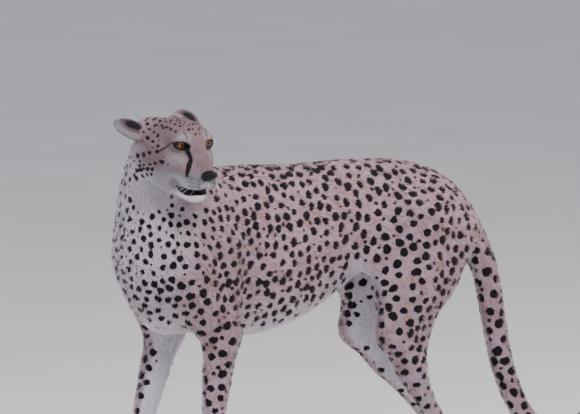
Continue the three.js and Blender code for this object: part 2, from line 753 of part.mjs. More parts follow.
function makeLegs() {
  for (const [name, leg] of Object.entries(LEGS)) {
    const [sideName, end] = name.split("_");
    const fore = end === "fore";
    const top = fore ? ELBOW_HEIGHT : KNEE_HEIGHT;
    const low = fore ? CARPAL_HEIGHT : HOCK_HEIGHT[sideName];
    let rest = legRegion(leg.side, fore).intersect(block(WORLD, [-200, -500, 0], [200, 500, top]));
    const toes = TOES.map((toe, i) => [`${name}_claw_${i + 1}`, toe]);
    if (fore) toes.push([`${sideName}_dewclaw`, DEWCLAW]);
    for (const [clawName, toe] of toes) {
      solids[clawName] = clawSolid(leg, toe, 0);
      rest = rest.subtract(clawSolid(leg, toe, GAP));
    }
    rest = part(`${sideName}_${fore ? "forearm" : "shank"}`, rest, WORLD, [-200, -500, low], [200, 500, 500]);
    solids[`${sideName}_${fore ? "forepaw" : "hind_foot"}`] = rest;
  }
}

// A claw: a blunt, down-turned cone at the end of its toe.
const CLAW = { length: 19, radius: 3.4, sunk: 5, dip: 22, height: 13 };
const DEWCLAW = { across: -17, ahead: -30, height: 96, dip: 55 }; // high on the inside of each wrist
function clawSolid(leg, toe, grow) {
  const { dip, height } = { ...CLAW, ...toe };
  const geometry = new THREE.ConeGeometry(CLAW.radius + grow, CLAW.length + 2 * grow, 6, 2);
  geometry.translate(0, CLAW.length / 2, 0);
  const spots = geometry.attributes.position;
  for (let i = 0; i < spots.count; i++) {
    const y = spots.getY(i);
    spots.setZ(i, spots.getZ(i) - 0.012 * Math.max(y, 0) ** 2);
  }
  const place = footPlace(leg, toe.across, toe.ahead + 30 - CLAW.sunk, height);
  geometry.rotateX(rad(-dip)).rotateZ(Math.PI + rad(leg.heading)).translate(...place);
  return solidFrom(geometry);
}

// ---------------------------------------------------------------- materials
const paint = (color, roughness) => new THREE.MeshStandardMaterial({ color, roughness, metalness: 0 });
const MATERIALS = {
  coat: paint(0xc49a68, 0.85),
  pale: paint(0xe6d9c4, 0.85),
  nose: paint(0x2b211d, 0.45),
  eye: paint(0xb0701c, 0.1),
  claw: paint(0x4a4038, 0.5),
};

function materialOf(name) {
  if (name.includes("claw")) return MATERIALS.claw;
  if (name.endsWith("_eye")) return MATERIALS.eye;
  if (name === "nose") return MATERIALS.nose;
  return name === "tail_tip" || name === "lower_jaw" ? MATERIALS.pale : MATERIALS.coat;
}

function meshFrom(name, solid) {
  const made = solid.getMesh();
  const geometry = new THREE.BufferGeometry();
  geometry.setAttribute("position", new THREE.BufferAttribute(Float32Array.from(made.vertProperties), 3));
  geometry.setIndex(new THREE.BufferAttribute(Uint32Array.from(made.triVerts), 1));
  geometry.computeVertexNormals();
  const mesh = new THREE.Mesh(geometry, materialOf(name));
  mesh.name = name;
  mesh.position.set(...scale(ORIGIN, -1));
  return mesh;
}

makeHead();
makeBody();
makeTail();
makeLegs();

const cheetah = new THREE.Group();
cheetah.name = "cheetah";
for (const [name, solid] of Object.entries(solids)) cheetah.add(meshFrom(name, solid));
export default cheetah;
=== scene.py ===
"""A life-size cheetah, standing with its head turned to its left.

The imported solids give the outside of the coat. One skin is drawn inside them from the
same field of flesh, and short tufts of fur lie over it. Shapes are worked out in body
coordinates: millimetres, the breast towards -Y, the animal's left at +X, the floor at 0.
"""
from math import ceil, cos, pi, radians, sin, sqrt
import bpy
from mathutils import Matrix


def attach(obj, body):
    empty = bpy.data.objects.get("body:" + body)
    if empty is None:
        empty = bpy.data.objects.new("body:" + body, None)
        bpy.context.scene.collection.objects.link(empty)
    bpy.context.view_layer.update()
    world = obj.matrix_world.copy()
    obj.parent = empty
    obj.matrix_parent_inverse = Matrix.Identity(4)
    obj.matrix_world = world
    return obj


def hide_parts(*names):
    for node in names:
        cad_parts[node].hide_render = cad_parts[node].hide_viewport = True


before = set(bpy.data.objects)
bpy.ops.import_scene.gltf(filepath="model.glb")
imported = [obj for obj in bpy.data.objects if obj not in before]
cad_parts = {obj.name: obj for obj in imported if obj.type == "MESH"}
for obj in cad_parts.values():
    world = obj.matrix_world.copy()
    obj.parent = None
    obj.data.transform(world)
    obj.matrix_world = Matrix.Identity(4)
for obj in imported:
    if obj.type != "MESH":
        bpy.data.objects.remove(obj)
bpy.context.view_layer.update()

from types import SimpleNamespace

import bpy
import numpy as np
from mathutils import Euler, Matrix, Vector
from mathutils.kdtree import KDTree

SEED = 7
MM = 0.001
ORIGIN = np.array([40.6, 158.1, 0.0])  # centre of the animal's box on the floor

# ---- driving sizes
SPINE = [[0, -270, 742], [0, -190, 752], [0, -30, 744], [0, 165, 744], [0, 300, 720], [0, 420, 650]]
SPINE_THICK = [36, 32, 33, 36, 42, 32]
NECK_LINE = [[-6, -300, 642], [0, -322, 736], [34, -350, 812]]
NECK_THICK = [110, 85, 63]
TAIL_LINE = [[0, 388, 672], [0, 450, 618], [4, 492, 540], [8, 512, 440], [12, 535, 335]]
TAIL_LINE += [[18, 580, 240], [24, 648, 190], [28, 715, 196], [30, 760, 240]]
TAIL_THICK = [40, 34, 29, 27, 25, 23, 23, 24, 18]
EYES = [142, -351, 857]  # midway between the eyeballs
HEAD_YAW = 2
HEAD_PITCH = 6


def leg(side, heading, hind, *joints):
    top, middle, low, foot = joints = np.array(joints, float)
    return SimpleNamespace(
        side=side, heading=heading, hind=hind, top=top, middle=middle, low=low, foot=foot, joints=joints
    )


# Side, heading of the foot in degrees, whether a hindleg; then shoulder, elbow, wrist and foot,
# or hip, knee, hock and foot.
LEGS = {
    "left_fore": leg(1, 4, False, [68, -318, 590], [78, -232, 456], [78, -262, 182], [80, -292, 0]),
    "right_fore": leg(
        -1, -3, False, [-68, -322, 590], [-78, -258, 452], [-76, -340, 186], [-76, -380, 0]
    ),
    "left_hind": leg(1, 5, True, [60, 296, 640], [88, 196, 440], [80, 318, 226], [84, 262, 0]),
    "right_hind": leg(-1, -5, True, [-60, 302, 640], [-88, 240, 430], [-78, 412, 238], [-80, 368, 0]),
}


# ---- shapes of flesh
# Each shape is a signed distance over many points, with a blend radius and a ball round it.
def shape(blend, distance, centre, reach, carves=False):
    return SimpleNamespace(
        blend=blend, distance=distance, centre=np.asarray(centre, float), reach=reach, carves=carves
    )


def length_of(v):
    return np.sqrt(np.einsum("ij,ij->i", v, v))


def unit(v):
    return v / np.maximum(length_of(v), 1e-9)[:, None]


def taper(blend, a, b, ra, rb):
    a, b = np.asarray(a, float), np.asarray(b, float)
    axis = b - a
    length2 = axis @ axis

    def distance(p):
        t = np.clip((p - a) @ axis / length2, 0, 1)
        return length_of(p - a - t[:, None] * axis) - ra - (rb - ra) * t

    return shape(blend, distance, (a + b) / 2, sqrt(length2) / 2 + max(ra, rb))


def egg(blend, centre, radii, pitch=0, yaw=0, roll=0):
    turn = Matrix.Identity(3)
    for angle, axis in ((yaw, "Z"), (pitch, "X"), (roll, "Y")):
        turn = turn @ Matrix.Rotation(radians(angle), 3, axis)
    turn = np.array(turn)
    radii = np.asarray(radii, float)

    def distance(p):
        q = (p - centre) @ turn / radii
        near = length_of(q)
        slope = np.maximum(length_of(q / radii), 1e-9)
        return np.maximum(near * (near - 1) / slope, -radii.min())

    return shape(blend, distance, centre, radii.max())


def smooth_line(points, steps):
    """A uniform Catmull-Rom curve through some points."""
    p = np.asarray(points, float)
    p = np.vstack([2 * p[0] - p[1], p, 2 * p[-1] - p[-2]])
    out = []
    for i in range(1, len(p) - 2):
        t = np.arange(steps)[:, None] / steps
        v0, v1 = (p[i + 1] - p[i - 1]) / 2, (p[i + 2] - p[i]) / 2
        a = 2 * p[i] - 2 * p[i + 1] + v0 + v1
        b = -3 * p[i] + 3 * p[i + 1] - 2 * v0 - v1
        out.append(a * t**3 + b * t**2 + v0 * t + p[i])
    return np.vstack(out + [p[-2]])


def limb(blend, points, thick):
    line = smooth_line(points, 6)
    half = smooth_line([[t] for t in thick], 6)[:, 0]
    pieces = [taper(0, line[i], line[i + 1], half[i], half[i + 1]) for i in range(len(line) - 1)]
    centre = (line[0] + line[-1]) / 2
    reach = (length_of(line - centre) + half).max()

    def distance(p):
        d = np.full(len(p), 1e9)
        for piece in pieces:
            far = length_of(p - piece.centre) - piece.reach > d
            near = np.flatnonzero(~far)
            d[near] = np.minimum(d[near], piece.distance(p[near]))
        return d

    return shape(blend, distance, centre, reach)


def hollow(s):
    return shape(s.blend, s.distance, s.centre, s.reach, True)


def both(make):
    return [make(1), make(-1)]


def field(shapes):
    """The smooth union of some shapes, less the carved ones."""

    def distance(p):
        d = np.full(len(p), 1e9)
        for s in shapes:
            away = length_of(p - s.centre) - s.reach
            near = np.flatnonzero(away <= (s.blend - d if s.carves else d + s.blend))
            if not len(near):
                continue
            e = np.maximum(s.distance(p[near]), away[near])
            e = -e if s.carves else e
            here = d[near]
            h = np.maximum(s.blend - np.abs(here - e), 0) / max(s.blend, 1e-6)
            bulge = h * h * s.blend / 4
            d[near] = np.maximum(here, e) + bulge if s.carves else np.minimum(here, e) - bulge
        return d

    return distance


def blended(a, b, blend):
    h = np.maximum(blend - np.abs(a - b), 0) / blend
    return np.minimum(a, b) - h * h * blend / 4


# ---- body
TRUNK = [
    egg(0, [0, -110, 620], [96, 250, 156]),  # rib cage
    egg(50, [0, 120, 664], [84, 215, 104]),  # belly
    egg(50, [0, 290, 666], [82, 136, 88]),  # hips
    limb(46, SPINE, SPINE_THICK),
    egg(50, [0, -308, 582], [82, 88, 114]),  # breast
    limb(46, [[0, -296, 520], [0, -130, 492], [0, 20, 524], [0, 130, 580]], [40, 42, 36, 28]),
    *both(lambda s: egg(34, [s * 62, -254, 656], [32, 58, 112], -16, 0, -s * 10)),  # shoulder blade
    *both(lambda s: taper(40, [s * 48, 320, 676], [s * 44, 408, 632], 50, 34)),  # buttock
    *both(lambda s: taper(36, [s * 62, 150, 590], [s * 80, 200, 516], 22, 18)),  # flank fold
]
NECK = [limb(50, NECK_LINE, NECK_THICK), taper(40, [0, -225, 752], [22, -320, 816], 34, 42)]
TAIL = [limb(22, TAIL_LINE, TAIL_THICK)]
TOES = [(-23, 16), (-8.5, 27), (8.5, 27), (23, 15)]  # how far across and ahead each toe is


def foot_place(leg, across, ahead, up):
    turn = radians(leg.heading)
    out = leg.side * across
    return leg.foot + [
        out * cos(turn) + ahead * sin(turn),
        out * sin(turn) - ahead * cos(turn),
        up,
    ]


def paw(leg):
    shapes = [
        taper(12, foot_place(leg, 0, -14, 42), foot_place(leg, 0, 10, 28), 22, 22),
        egg(10, foot_place(leg, 0, -12, 17), [23, 20, 20]),  # heel pad
    ]
    for across, ahead in TOES:
        knuckles = [(0.7, -18, 28), (0.95, 4, 23), (1, 20, 9)]
        line = [foot_place(leg, across * share, ahead + more, up) for share, more, up in knuckles]
        shapes.append(limb(6, line, [14.5, 14.5, 11.5]))
    return shapes


def between(a, b, t):
    return a + (b - a) * t


def foreleg(leg):
    s, shoulder, elbow, wrist = leg.side, leg.top, leg.middle, leg.low
    pastern = foot_place(leg, 0, -14, 42)
    down = [between(elbow, wrist, t) for t in (0.3, 0.65)]
    return [
        limb(34, [shoulder + [0, 8, 0], between(shoulder, elbow, 0.55), elbow], [46, 43, 36]),
        taper(30, shoulder + [-s * 4, 100, 46], elbow + [-s * 4, 16, 20], 38, 28),  # triceps
        limb(18, [elbow + [0, 2, 4], *down, wrist], [37, 31, 23, 20]),
        taper(16, elbow + [0, 28, 12], between(elbow, wrist, 0.35), 16, 14),
        egg(16, wrist + [0, -3, 2], [19, 18, 28]),
        limb(12, [wrist, between(wrist, pastern, 0.5), pastern], [20, 19, 21]),
        *paw(leg),
    ]


def hindleg(leg):
    s, hip, knee, hock = leg.side, leg.top, leg.middle, leg.low
    pastern = foot_place(leg, 0, -14, 42)
    haunch = [hip + [-s * 6, 76, -40], between(hip, knee, 0.72) + [0, 52, 0], between(knee, hock, 0.4)]
    return [
        egg(50, between(hip, knee, 0.3) + [0, 8, 0], [48, 88, 122], 24, 0, s * 6),  # thigh
        limb(34, [between(hip, knee, 0.45), between(hip, knee, 0.75), knee], [66, 54, 38]),
        limb(36, haunch, [42, 34, 22]),
        egg(20, knee + [s * 2, -6, 4], [26, 26, 36]),  # kneecap
        limb(20, [knee, between(knee, hock, 0.33), between(knee, hock, 0.7), hock], [36, 33, 21, 18]),
        taper(10, between(knee, hock, 0.5), hock + [0, 16, 12], 14, 10),  # heel cord
        egg(12, hock + [0, 5, 0], [18, 21, 26]),
        limb(12, [hock + [0, 0, -6], between(hock, pastern, 0.5), pastern], [19, 17, 21]),
        *paw(leg),
    ]


LEG_SHAPES = {name: (hindleg if leg.hind else foreleg)(leg) for name, leg in LEGS.items()}

# ---- head
# Head coordinates: x to the animal's right, y forward, z up, from between the eyeballs.
HEAD = np.array(
    Matrix.Translation(EYES)
    @ Matrix.Rotation(radians(-90 - HEAD_YAW), 4, "Z")
    @ Matrix.Rotation(radians(-HEAD_PITCH), 4, "X")
)


def to_head(p):
    return (p - HEAD[:3, 3]) @ HEAD[:3, :3]


def from_head(p):
    return np.asarray(p, float) @ HEAD[:3, :3].T + HEAD[:3, 3]


SKULL = [
    egg(0, [0, -46, -3], [58, 64, 45]),  # brain case
    egg(18, [0, -86, -8], [52, 42, 38]),  # back of the head
    *both(lambda s: egg(18, [s * 30, -94, 12], [28, 30, 25])),  # crown, between the ears
    egg(22, [0, -8, 8], [42, 32, 28]),  # forehead
    *both(lambda s: egg(10, [s * 30, 6, 12], [17, 13, 8], 0, -s * 12, 0)),  # brow
    *both(lambda s: taper(14, [s * 49, -42, -24], [s * 34, -4, -22], 19, 12)),  # cheekbone
    *both(lambda s: taper(14, [s * 28, 0, -38], [s * 15, 42, -54], 19, 15)),  # side of the face
    taper(16, [0, 4, 0], [0, 56, -40], 22, 15),  # bridge of the nose
    egg(14, [0, 42, -60], [25, 25, 20]),  # muzzle
    *both(lambda s: egg(9, [s * 14, 47, -71], [16, 19, 14])),  # whisker pad
    *both(lambda s: taper(14, [s * 33, -2, -66], [s * 22, 34, -74], 13, 11)),  # upper lip
    egg(8, [0, 64, -52], [14, 13, 11]),  # nose
    egg(4, [0, 74, -49], [15.5, 9.5, 7]),
    *both(lambda s: egg(3, [s * 11, 74, -53], [5.5, 8, 6.5])),  # wings of the nostrils
    *both(lambda s: egg(18, [s * 46, -34, -44], [22, 38, 36])),  # cheek
    *both(lambda s: egg(20, [s * 48, -74, -30], [26, 34, 44])),  # ruff
    egg(20, [0, -36, -66], [46, 44, 34]),  # throat
]
JAW = [
    *both(lambda s: taper(14, [s * 40, -36, -70], [s * 11, 26, -98], 21, 12)),
    egg(12, [0, 30, -99], [16, 17, 12]),  # chin
    egg(14, [0, 0, -92], [24, 34, 16]),
]
NOSE = SimpleNamespace(centre=np.array([0, 73, -53.0]), radii=np.array([16, 13, 11.0]))
EYE = SimpleNamespace(out=32.5, ahead=1, radius=15.5, lid=2.2, almond=[14, 16, 6.0], tilt=10)
LIDS = [
    *both(lambda s: hollow(egg(8, [s * 35, 18, -1], [13, 12, 9]))),
    *both(lambda s: egg(3, [s * EYE.out, EYE.ahead, 0], [EYE.radius + EYE.lid] * 3)),
    *both(
        lambda s: hollow(egg(1.5, [s * (EYE.out - 1), 20, -1.4], EYE.almond, 0, -s * 14, -s * EYE.tilt))
    ),
]
MOUTH = [hollow(egg(4, [0, 40, -87], [36, 44, 4.2], -8)), egg(3, [0, 14, -84], [17, 30, 14])]
NOSTRILS = [
    *both(lambda s: hollow(egg(1.5, [s * 7.5, 84, -54], [4.6, 9, 3.6], 0, -s * 30, s * 24))),
    *both(lambda s: hollow(egg(2, [s * 14, 77, -57], [4.5, 4, 1.6], 0, -s * 30, s * 30))),
    hollow(taper(2, [0, 82, -58], [0, 74, -76], 1.2, 1.6)),  # groove below the nose
]
EARS = {
    "right_ear": ([56, -82, 6], [0.85, -0.42, 0.31], [0.0, 0.42, 0.9]),
    "left_ear": ([-46, -88, 10], [-0.58, -0.73, 0.36], [-0.2, 0.45, 0.9]),
}
EAR_CUP = [
    egg(0, [0, 24, 0], [31, 40, 12]),
    hollow(egg(5, [0, 29, -10], [25, 35, 14.5])),
    egg(12, [0, -6, -2], [22, 18, 14]),
]


def ear_axes(base, along, back):
    u = Vector(along).normalized()
    n = Vector(back)
    n = (n - n.dot(u) * u).normalized()
    return np.array([u.cross(n), u, n]).T, np.array(base, float)


EAR_AXES = {name: ear_axes(*ear) for name, ear in EARS.items()}
in_ear = field(EAR_CUP)
skull_and_jaw = field([*SKULL, *JAW, *LIDS, *MOUTH, *NOSTRILS])


def head_field(p):
    q = to_head(p)
    away = length_of(q - [0, -30, -30]) - 150
    d = away.copy()
    near = np.flatnonzero(away < 40)
    if len(near):
        q = q[near]
        inner = skull_and_jaw(q)
        for axes, base in EAR_AXES.values():
            inner = blended(inner, in_ear((q - base) @ axes), 8)
        d[near] = np.maximum(inner, away[near])
    return d


BODY_PARTS = {
    "trunk": TRUNK,
    "neck": NECK,
    **LEG_SHAPES,
    "tail": TAIL,
}
body_only = field([s for part in BODY_PARTS.values() for s in part])


def coat_surface(p):
    return blended(body_only(p), head_field(p), 26)


# ---- depth of the coat
def ramp(x, low, high):
    """0 below low, 1 above high (or the other way round), smooth between."""
    t = np.clip((x - low) / (high - low), 0, 1)
    return t * t * (3 - 2 * t)


def blob(q, centre, radii, edge=1.0, core=0.35):
    """1 round a centre, falling smoothly from a core to 0 at an edge, both as shares of the radii."""
    return ramp(length_of((q - centre) / np.array(radii, float)), edge, core)


def one_side(q):
    """Head coordinates with both sides of the head folded into one."""
    return np.stack([np.abs(q[:, 0]), q[:, 1], q[:, 2]], 1)


def bare_face(q):
    """How bare of fur the face is, in head coordinates: 1 on the nose, the lips and the lids."""
    q = one_side(q)
    lids = blob(q, [EYE.out, 10, -1], [24, 24, 17])
    nose = blob(q, [0, 76, -54], [24, 20, 18])
    lips = blob(q, [12, 48, -88], [34, 44, 16])
    return np.maximum(np.maximum(lids, nose), lips)


def on_ear(e):
    """1 on the free part of an ear, in its own coordinates."""
    return ramp(e[:, 1], 2, 16) * ramp(length_of(e - [0, 24, 0]), 52, 42)


def coat_depth(p):
    """How far the skin lies inside the tips of the coat."""
    q = to_head(p)
    on_head = ramp(length_of(q - [0, -20, -40]), 165, 105)
    face = ramp(q[:, 1], -70, 30)
    head_depth = (4.2 - 2.4 * face) * (1 - bare_face(q)) + 0.5 * bare_face(q)
    ear = np.maximum(*[on_ear((q - base) @ axes) for axes, base in EAR_AXES.values()])
    body_depth = 6.5 - 3.5 * ramp(p[:, 2], 420, 90)
    return (body_depth * (1 - on_head) + head_depth * on_head) * (1 - ear) + 0.3 * ear


def skin_surface(p):
    return coat_surface(p) + coat_depth(p)


# ---- skin mesh
CORNERS = np.array([[i & 1, i >> 1 & 1, i >> 2 & 1] for i in range(8)])
CELL_EDGES = [(i, i | bit) for i in range(8) for bit in (1, 2, 4) if not i & bit]


def ticks(stretches):
    """Grid lines along one axis, from stretches of (start, spacing) that end with a stop."""
    lines = []
    for (start, step), (stop, _) in zip(stretches, stretches[1:]):
        count = max(round((stop - start) / step), 1)
        lines.append(start + (stop - start) * np.arange(count) / count)
    return np.concatenate(lines + [[stretches[-1][0]]])


def at_lines(lines, index):
    return np.stack([line[i] for line, i in zip(lines, index.T)], 1)


def cells_near(distance, lines):
    """Grid cells near a surface, found by halving blocks that may hold a piece of it."""
    shape_of = np.array([len(line) - 1 for line in lines])
    size = 16
    found = np.indices(-(-shape_of // size)).reshape(3, -1).T * size
    while True:
        low, high = [at_lines(lines, np.minimum(found + more, shape_of)) for more in (0, size)]
        reach = length_of(high - low) / 2
        found = found[np.abs(distance((low + high) / 2)) <= reach * 1.35]
        if size == 1:
            return found
        size //= 2
        found = (found[:, None] + CORNERS * size).reshape(-1, 3)
        found = found[(found < shape_of).all(1)]


def surface_mesh(distance, lines):
    """One point in each cell that the surface passes, joined across the crossed grid edges."""
    steps = np.array([1, len(lines[0]), len(lines[0]) * len(lines[1])])
    cells = cells_near(distance, lines)
    ids = cells @ steps
    order = np.argsort(ids)
    cells, ids = cells[order], ids[order]
    corner_ids = ids[:, None] + CORNERS @ steps
    known, where = np.unique(corner_ids, return_inverse=True)
    where = where.reshape(corner_ids.shape)
    at = np.stack([known % steps[1], known // steps[1] % len(lines[1]), known // steps[2]], 1)
    values = distance(at_lines(lines, at))
    # A cell face whose corners are inside and outside by turns would pinch the surface.
    while True:
        pinched = []
        for face in ([0, 1, 3, 2], [0, 1, 5, 4], [0, 2, 6, 4]):
            ring = where[:, face]
            inside = values[ring] < 0
            turns = (inside[:, 0] == inside[:, 2]) & (inside[:, 1] == inside[:, 3])
            ring = ring[turns & (inside[:, 0] != inside[:, 1])]
            outer = np.where(values[ring] < 0, np.inf, values[ring]).argmin(1)
            pinched.append(ring[np.arange(len(ring)), outer])
        pinched = np.concatenate(pinched)
        if not len(pinched):
            break
        values[pinched] = -0.05
    corner = values[where]
    inside = corner < 0
    crossed = inside.any(1) & ~inside.all(1)
    cells, ids, corner, inside = cells[crossed], ids[crossed], corner[crossed], inside[crossed]
    total, count = np.zeros((len(cells), 3)), np.zeros(len(cells))
    for p, q in CELL_EDGES:
        cut = inside[:, p] != inside[:, q]
        t = corner[cut, p] / (corner[cut, p] - corner[cut, q])
        total[cut] += CORNERS[p] + t[:, None] * (CORNERS[q] - CORNERS[p])
        count[cut] += 1
    share = total / count[:, None]
    low = at_lines(lines, cells)
    span = at_lines(lines, cells + 1) - low
    points = low + share * span
    reach = span.min(1)
    slope = gradient(distance, points)
    for _ in range(2):
        move = distance(points)[:, None] * slope / np.maximum((slope**2).sum(1), 0.25)[:, None]
        far = np.maximum(length_of(move) / (0.6 * reach), 1)
        points = points - move / far[:, None]
    quads = []
    for axis in range(3):
        cut = inside[:, 0] != inside[:, 1 << axis]
        u, v = steps[(axis + 1) % 3], steps[(axis + 2) % 3]
        ring = np.searchsorted(ids, ids[cut, None] - [0, u, u + v, v])
        quads.append(np.where(inside[cut, :1], ring, ring[:, ::-1]))
    return points, np.concatenate(quads)


def gradient(distance, p, step=0.4):
    here = distance(p)
    return np.stack([(distance(p + step * e) - here) / step for e in np.eye(3)], 1)


LINES = [
    ticks([(-152, 5.5), (76, 2.2), (222, 6), (222, 1)]),
    ticks([(-470, 5.5), (-440, 2.4), (-276, 6), (792, 6), (792, 1)]),
    ticks([(-10, 4), (70, 6), (728, 2.2), (918, 5), (918, 1)]),
]
POINTS, QUADS = surface_mesh(skin_surface, LINES)


def normals_of(points, quads):
    a, b, c, d = points[quads].transpose(1, 0, 2)
    face = np.cross(c - a, d - b)
    total = np.zeros_like(points)
    for i in range(4):
        np.add.at(total, quads[:, i], face)
    return unit(total), length_of(face) / 2


NORMALS, AREAS = normals_of(POINTS, QUADS)
IN_HEAD = to_head(POINTS)
FACING = NORMALS @ HEAD[:3, :3]  # normals in head coordinates

# ---- which part a point is on
DISTANCES = {name: field(shapes)(POINTS) for name, shapes in BODY_PARTS.items()}
DISTANCES["head"] = head_field(POINTS)
WEIGHTS = {name: np.exp(-np.clip(d, 0, 90) / 13) for name, d in DISTANCES.items()}
TOTAL = sum(WEIGHTS.values())
WEIGHTS = {name: w / TOTAL for name, w in WEIGHTS.items()}
ON_LEG = sum(WEIGHTS[name] for name in LEGS)
ON_TRUNK, ON_NECK, ON_TAIL, ON_HEAD = [WEIGHTS[name] for name in ("trunk", "neck", "tail", "head")]
TAIL_CURVE = smooth_line(TAIL_LINE, 12)


def along_curve(p, line):
    """The nearest point's index on a line, and the line's direction there."""
    best = np.full(len(p), 1e9)
    index = np.zeros(len(p), int)
    for i, at in enumerate(line):
        away = length_of(p - at)
        closer = away < best
        best[closer], index[closer] = away[closer], i
    direction = unit(np.gradient(line, axis=0))
    return index, direction[index]


_, TAIL_WAY = along_curve(POINTS, TAIL_CURVE)
EAR_PLACES = {name: (IN_HEAD - base) @ axes for name, (axes, base) in EAR_AXES.items()}
ON_EAR = {name: on_ear(e) for name, e in EAR_PLACES.items()}

# ---- lie of the coat
LIE_OF = {
    "trunk": [0, 1, -0.3],
    "neck": [-0.2, 0.3, -0.95],
    **{name: [0, 0.3 if leg_of.hind else 0.12, -1] for name, leg_of in LEGS.items()},
}
LIE = sum(WEIGHTS[name][:, None] * np.array(way) / np.linalg.norm(way) for name, way in LIE_OF.items())
LIE = LIE + ON_TAIL[:, None] * TAIL_WAY
LIE = LIE + ON_HEAD[:, None] * (unit(IN_HEAD - [0, 100, -56]) @ HEAD[:3, :3].T)
for name, share in ON_EAR.items():
    way = EAR_AXES[name][0][:, 1] @ HEAD[:3, :3].T
    LIE = LIE * (1 - share[:, None]) + share[:, None] * way


def laid_on(way, normals):
    return unit(way - (way * normals).sum(1)[:, None] * normals)


LIE = laid_on(LIE, NORMALS)

# ---- markings
rng = np.random.default_rng(SEED)
BACKWARD = ramp(POINTS[:, 1], -330, 140)
HEIGHT = POINTS[:, 2]
LEG_FALL = ramp(HEIGHT, 470, 120)
SPACING = (
    ON_TRUNK * (17 + 3 * BACKWARD)
    + ON_NECK * 15.5
    + ON_LEG * (20 - 6 * LEG_FALL)
    + ON_TAIL * 21
    + ON_HEAD * (14 - 2 * ramp(FACING[:, 2], 0.2, 0.8))
)
ON_BACK = ON_TRUNK * ramp(NORMALS[:, 2], 0.45, 0.9)
SPACING = SPACING * (1 - 0.08 * ON_BACK)
SPOT_SHARE = 0.435 - 0.06 * ON_NECK - 0.13 * ON_HEAD - 0.09 * ON_LEG * LEG_FALL + 0.05 * ON_BACK
SPOT_SIZE = SPACING * SPOT_SHARE
STRETCH = 1.15 - 0.3 * (ON_TRUNK - ON_BACK + ON_LEG * (1 - LEG_FALL))  # along the lie of the coat
SIDE = np.sign(POINTS[:, 0])
BELLY = (ON_TRUNK + ON_NECK) * ramp(NORMALS[:, 2], -0.45, -0.85)
INNER_LEG = ON_LEG * ramp(NORMALS[:, 0] * SIDE, -0.25, -0.75) * ramp(HEIGHT, 560, 480)
FACE = ON_HEAD * ramp(IN_HEAD[:, 1], -34, -8)
LOWER_FACE = ON_HEAD * ramp(IN_HEAD[:, 2], -56, -84) * ramp(IN_HEAD[:, 1], -80, -40)
ANY_EAR = np.maximum(*ON_EAR.values())
SOLE = ramp(HEIGHT, 34, 16)
IN_MIRROR = one_side(IN_HEAD)
SPOTTED_CHEEK = ON_HEAD * blob(IN_MIRROR, [66, -52, -46], [30, 50, 38], core=0.8)
# The throat: left unspotted, and given painted shade under the jaw in SHADE.
THROAT = 0.9 * blob(IN_MIRROR, [52, -70, -116], [56, 54, 44], core=0.7)
PLAIN = FACE + LOWER_FACE + BELLY * 0.9 + INNER_LEG * 0.8 + ANY_EAR + SOLE + SPOTTED_CHEEK + THROAT
PLAIN = np.clip(PLAIN, 0, 1)


def on_skin(quad, across, ahead, values):
    """Values at places given by a quad and two shares across it."""
    a, b, c, d = values[QUADS[quad]].transpose(1, 0, *range(2, values.ndim + 1))
    if values.ndim == 2:
        across, ahead = across[:, None], ahead[:, None]
    return (a * (1 - across) + b * across) * (1 - ahead) + (d * (1 - across) + c * across) * ahead


def scattered(count, weight):
    """Random places on the skin, the same number for each bit of weighted area."""
    chance = AREAS * weight[QUADS].mean(1)
    quad = rng.choice(len(QUADS), count, p=chance / chance.sum())
    return quad, rng.random(count), rng.random(count)


def spread(tries, weight, distance, taken=np.zeros((0, 3)), taken_rooms=np.zeros(0)):
    """Places at least some distance apart, picked in random order."""
    quad, across, ahead = scattered(tries, weight)
    place = on_skin(quad, across, ahead, POINTS)
    room = on_skin(quad, across, ahead, distance)
    kept, n = [], len(taken)
    spots = np.vstack([taken, np.zeros((tries, 3))])
    rooms = np.append(taken_rooms, np.zeros(tries))
    for i in range(tries):
        gap = (rooms[:n] + room[i]) / 2
        if (length_of(spots[:n] - place[i]) < gap).any():
            continue
        spots[n], rooms[n] = place[i], room[i]
        n += 1
        kept.append(i)
    return quad[kept], across[kept], ahead[kept], spots[:n], rooms[:n]


SPOTS, STROKES = [], []


def add_spot(centre, normal, lie, radius, stretch):
    turns = rng.random(3) * 2 * pi
    SPOTS.append((centre, normal, lie, radius, stretch, turns))


def add_spots(quad, across, ahead, share):
    values = [on_skin(quad, across, ahead, v) for v in (POINTS, NORMALS, LIE, SPOT_SIZE, STRETCH, PLAIN)]
    for centre, normal, lie, size, stretch, plain in zip(*values):
        if rng.random() < plain * 1.15:
            continue
        size *= share * rng.uniform(0.82, 1.15) * (1 - 0.35 * plain)
        add_spot(centre, normal, lie, size, stretch * rng.uniform(0.86, 1.16))


*first, places, rooms = spread(60000, 1 / SPACING**2, SPACING * 1.04)
add_spots(*first, 1.0)
*second, _, _ = spread(9000, 1 / SPACING**2, SPACING * 0.7, places, rooms * 0.85)
add_spots(*second, 0.5)


def onto_skin(q, turns=6):
    """Head coordinates near the face, moved onto the skin."""
    p = from_head(np.atleast_2d(q))
    for _ in range(turns):
        slope = gradient(skin_surface, p)
        p = p - skin_surface(p)[:, None] * slope / np.maximum((slope**2).sum(1), 0.3)[:, None]
    return p


def add_line(points, half_widths):
    """A black line over the face through some points, with a half-width at each."""
    line = onto_skin(smooth_line(points, 8))
    half = smooth_line([[w] for w in half_widths], 8)[:, 0]
    STROKES.extend(zip(line, line[1:], half, half[1:]))


